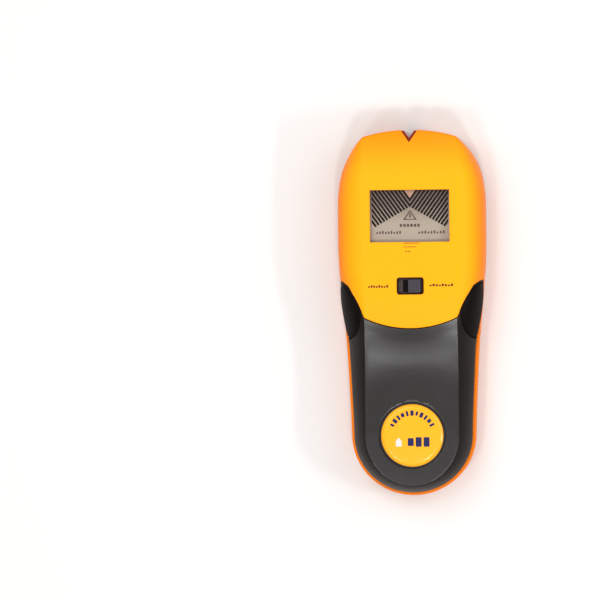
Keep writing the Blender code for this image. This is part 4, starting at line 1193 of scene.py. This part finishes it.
# The rounded edge outside the dome, as (radius, height over the rim).
BADGE_EDGE = [(13.35, 0.03), (13.6, -0.03), (14.0, -0.20), (14.4, -0.40), (14.75, -0.60), (14.9, -0.72),
              (14.97, -0.86), (15.0, -1.0)]
ARC_MARKS = 11
ARC_SPAN = 124
ARC_R = 10.8
BLOCKS_X = (-0.7, 3.1, 6.9)


def dome(x, y):
    """Height of the badge's face."""
    r = min(hypot(x, y - BADGE_Y), DOME_R)
    return BADGE_RIM_Z + BADGE_CROWN * (1 - (r / DOME_R) ** 2)


def badge_print():
    """Short dashes along an arc and three blocks under them."""
    marks = []
    for k in range(ARC_MARKS):
        angle = radians(90 + ARC_SPAN / 2 - ARC_SPAN * k / (ARC_MARKS - 1))
        across = 0.55 + 0.25 * ((k * 3) % 2)
        long = 1.25 if k % 3 else 1.0
        u = (cos(angle), sin(angle))
        mark = []
        for px, py in rounded(long, across, 0.3, (0.0, 0.0), 3):
            r = ARC_R + px
            mark.append((u[0] * r - u[1] * py, BADGE_Y + u[1] * r + u[0] * py))
        marks.append(mark)
    for k, x in enumerate(BLOCKS_X):
        marks.append(rounded(1.45, 2.3 if k else 1.9, 0.5, (x, BADGE_Y - 3.1), 4))
    return marks


def build_badge():
    profile = [(r, dome(r, BADGE_Y)) for r in (0.4, 2, 4, 6, 8, 10, 12, 13)]
    profile += [(r, BADGE_RIM_Z + dz) for r, dz in BADGE_EDGE]
    profile.append((BADGE_EDGE[-1][0], BADGE_BASE_Z))
    disc = stack("badge_disc", [badge_ring(r, z) for r, z in profile[::-1]])
    ride(paint(smooth(disc), "badge_face"), stands_for=["badge"])
    merged_plates("badge_marks", badge_print(), "navy_print", 0.04, dome)
    house = [(-7.9, -5.2), (-5.1, -5.2), (-5.1, -2.6), (-6.5, -1.0), (-7.9, -2.6)]
    house = [(x, BADGE_Y + y) for x, y in house]
    merged_plates("badge_icon", [house], "white_print", 0.04, dome)


# -------- kept nodes
def repaint(node, key):
    """Gives a kept node its material, with smooth shading that stops at its sharp edges."""
    obj = paint(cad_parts[node], key)
    for polygon in obj.data.polygons:
        polygon.use_smooth = True
    weld = obj.modifiers.new("weld", "WELD")
    weld.merge_threshold = WELD
    split = obj.modifiers.new("split", "EDGE_SPLIT")
    split.split_angle = radians(SHARP)


KEPT = {
    "lcd_reflector": ["lcd_panel"],
    "white_moulding": ["lcd_frame"],
    "contact_rubber": ["contact_strip"],
    "solder_mask": ["main_pcb", "sensor_board"],
    "black_moulding": ["controller_chip", "board_connector", "piezo_buzzer", "tact_switch_body",
                       "battery_snap"],
    "battery_film": ["battery"],
    "foam": ["battery_foam"],
    "red_pvc": ["battery_lead_red"],
    "black_pvc": ["battery_lead_black"],
    "nickel_plate": ["battery_terminal_positive", "battery_terminal_negative", "crystal_can"],
    "capacitor_sleeve": ["capacitor_1", "capacitor_2"],
    "bare_copper": ["sensor_plate_left", "sensor_plate_centre", "sensor_plate_right"],
    "tact_plunger": ["tact_plunger"],
    "red_epoxy": ["spotlight_led"],
    "red_acrylic": ["marker_lens"],
    "yellow_abs_lower_painted_shade": ["battery_door"],
    "zinc_steel": ["mode_switch_body"] + [f"housing_screw_{k}" for k in range(1, 5)],
    "felt": [f"glide_pad_{k}" for k in range(1, 5)],
}


# -------- stage, light and camera
FLOOR_SIZE = 3.0
VIEW_CENTRE = (-0.0530, 0.0068, 0.0334)
VIEW_HEIGHT = 2.4
VIEW_TILT = 3.5        # degrees, over to the tool's right
VIEW_ROLL = -0.56


def build_stage():
    """Pale floor, seen from above only."""
    mesh = bpy.data.meshes.new("floor")
    corners = [(x, y, 0) for x, y in rect(-FLOOR_SIZE, -FLOOR_SIZE, FLOOR_SIZE, FLOOR_SIZE)]
    mesh.from_pydata(corners, [], [(0, 1, 2, 3)])
    floor = bpy.data.objects.new("floor", mesh)
    LOOKS.objects.link(floor)
    tree, shader = new_material("floor")
    shader.inputs["Base Color"].default_value = (0.70, 0.695, 0.69, 1.0)
    shader.inputs["Roughness"].default_value = 0.8
    geo = tree.nodes.new("ShaderNodeNewGeometry")
    see = tree.nodes.new("ShaderNodeMath")
    see.operation = "SUBTRACT"
    see.inputs[0].default_value = 1.0
    tree.links.new(geo.outputs["Backfacing"], see.inputs[1])
    tree.links.new(see.outputs[0], shader.inputs["Alpha"])
    paint(floor, "floor")


def area(name, location, target, size, power):
    """Rectangular lamp that faces its target; positions and sizes in metres."""
    data = bpy.data.lights.new(name, "AREA")
    data.shape = "RECTANGLE"
    data.size, data.size_y = size
    data.energy = power
    obj = bpy.data.objects.new(name, data)
    obj.location = location
    obj.rotation_mode = "QUATERNION"
    obj.rotation_quaternion = (Vector(target) - Vector(location)).to_track_quat("-Z", "Y")
    bpy.context.scene.collection.objects.link(obj)


def build_light():
    """Soft key and fill from above, two small lamps for the thumb dish, and one for the badge's edge."""
    world = bpy.data.worlds.new("studio")
    world.use_nodes = True
    background = world.node_tree.nodes["Background"]
    background.inputs["Color"].default_value = (1.0, 0.98, 0.96, 1.0)
    background.inputs["Strength"].default_value = 0.7
    bpy.context.scene.world = world
    area("key", (-0.38, 0.42, 1.05), (0, 0, 0.02), (0.7, 0.7), 5.0)
    area("fill", (0.65, 0.25, 0.75), (0, 0, 0.02), (0.6, 0.6), 1.8)
    area("band_left", (-0.235, -0.33, 1.0), (0, -0.02, 0.02), (0.10, 0.12), 1.45)
    area("band_right", (0.11, -0.33, 1.0), (0, -0.02, 0.02), (0.10, 0.12), 2.15)
    area("side", (0.74, -0.15, 0.62), (0, -0.06, 0.028), (0.20, 0.05), 2.0)


def build_camera():
    """Camera almost straight above; the tool lies right of the view's centre."""
    data = bpy.data.cameras.new("camera")
    data.sensor_width = 36.0
    cam = bpy.data.objects.new("camera", data)
    bpy.context.scene.collection.objects.link(cam)
    centre = Vector(VIEW_CENTRE)
    eye = Vector((VIEW_HEIGHT * tan(radians(VIEW_TILT)), centre.y, VIEW_HEIGHT + centre.z))
    data.lens = data.sensor_width * (eye - centre).length / FRAME_SPAN
    away = (centre - eye).normalized()
    up = Matrix.Rotation(radians(VIEW_ROLL), 3, "Z") @ Vector((0.0, 1.0, 0.0))
    right = away.cross(up).normalized()
    turn = Matrix((right, right.cross(away), -away)).transposed()
    cam.matrix_world = Matrix.Translation(eye) @ turn.to_4x4()
    data.clip_start = 0.05
    data.clip_end = 20.0
    bpy.context.scene.camera = cam
    bpy.context.scene.view_settings.view_transform = "Standard"


build_upper_shells()
build_lower_shell()
build_power_key()
build_oval("side_pad_cap", 1.0, "side_grip_pad")
build_display()
build_face_marks()
build_switch()
build_badge()
for look, node_names in KEPT.items():
    for node_name in node_names:
        repaint(node_name, look)
build_stage()
build_light()
build_camera()
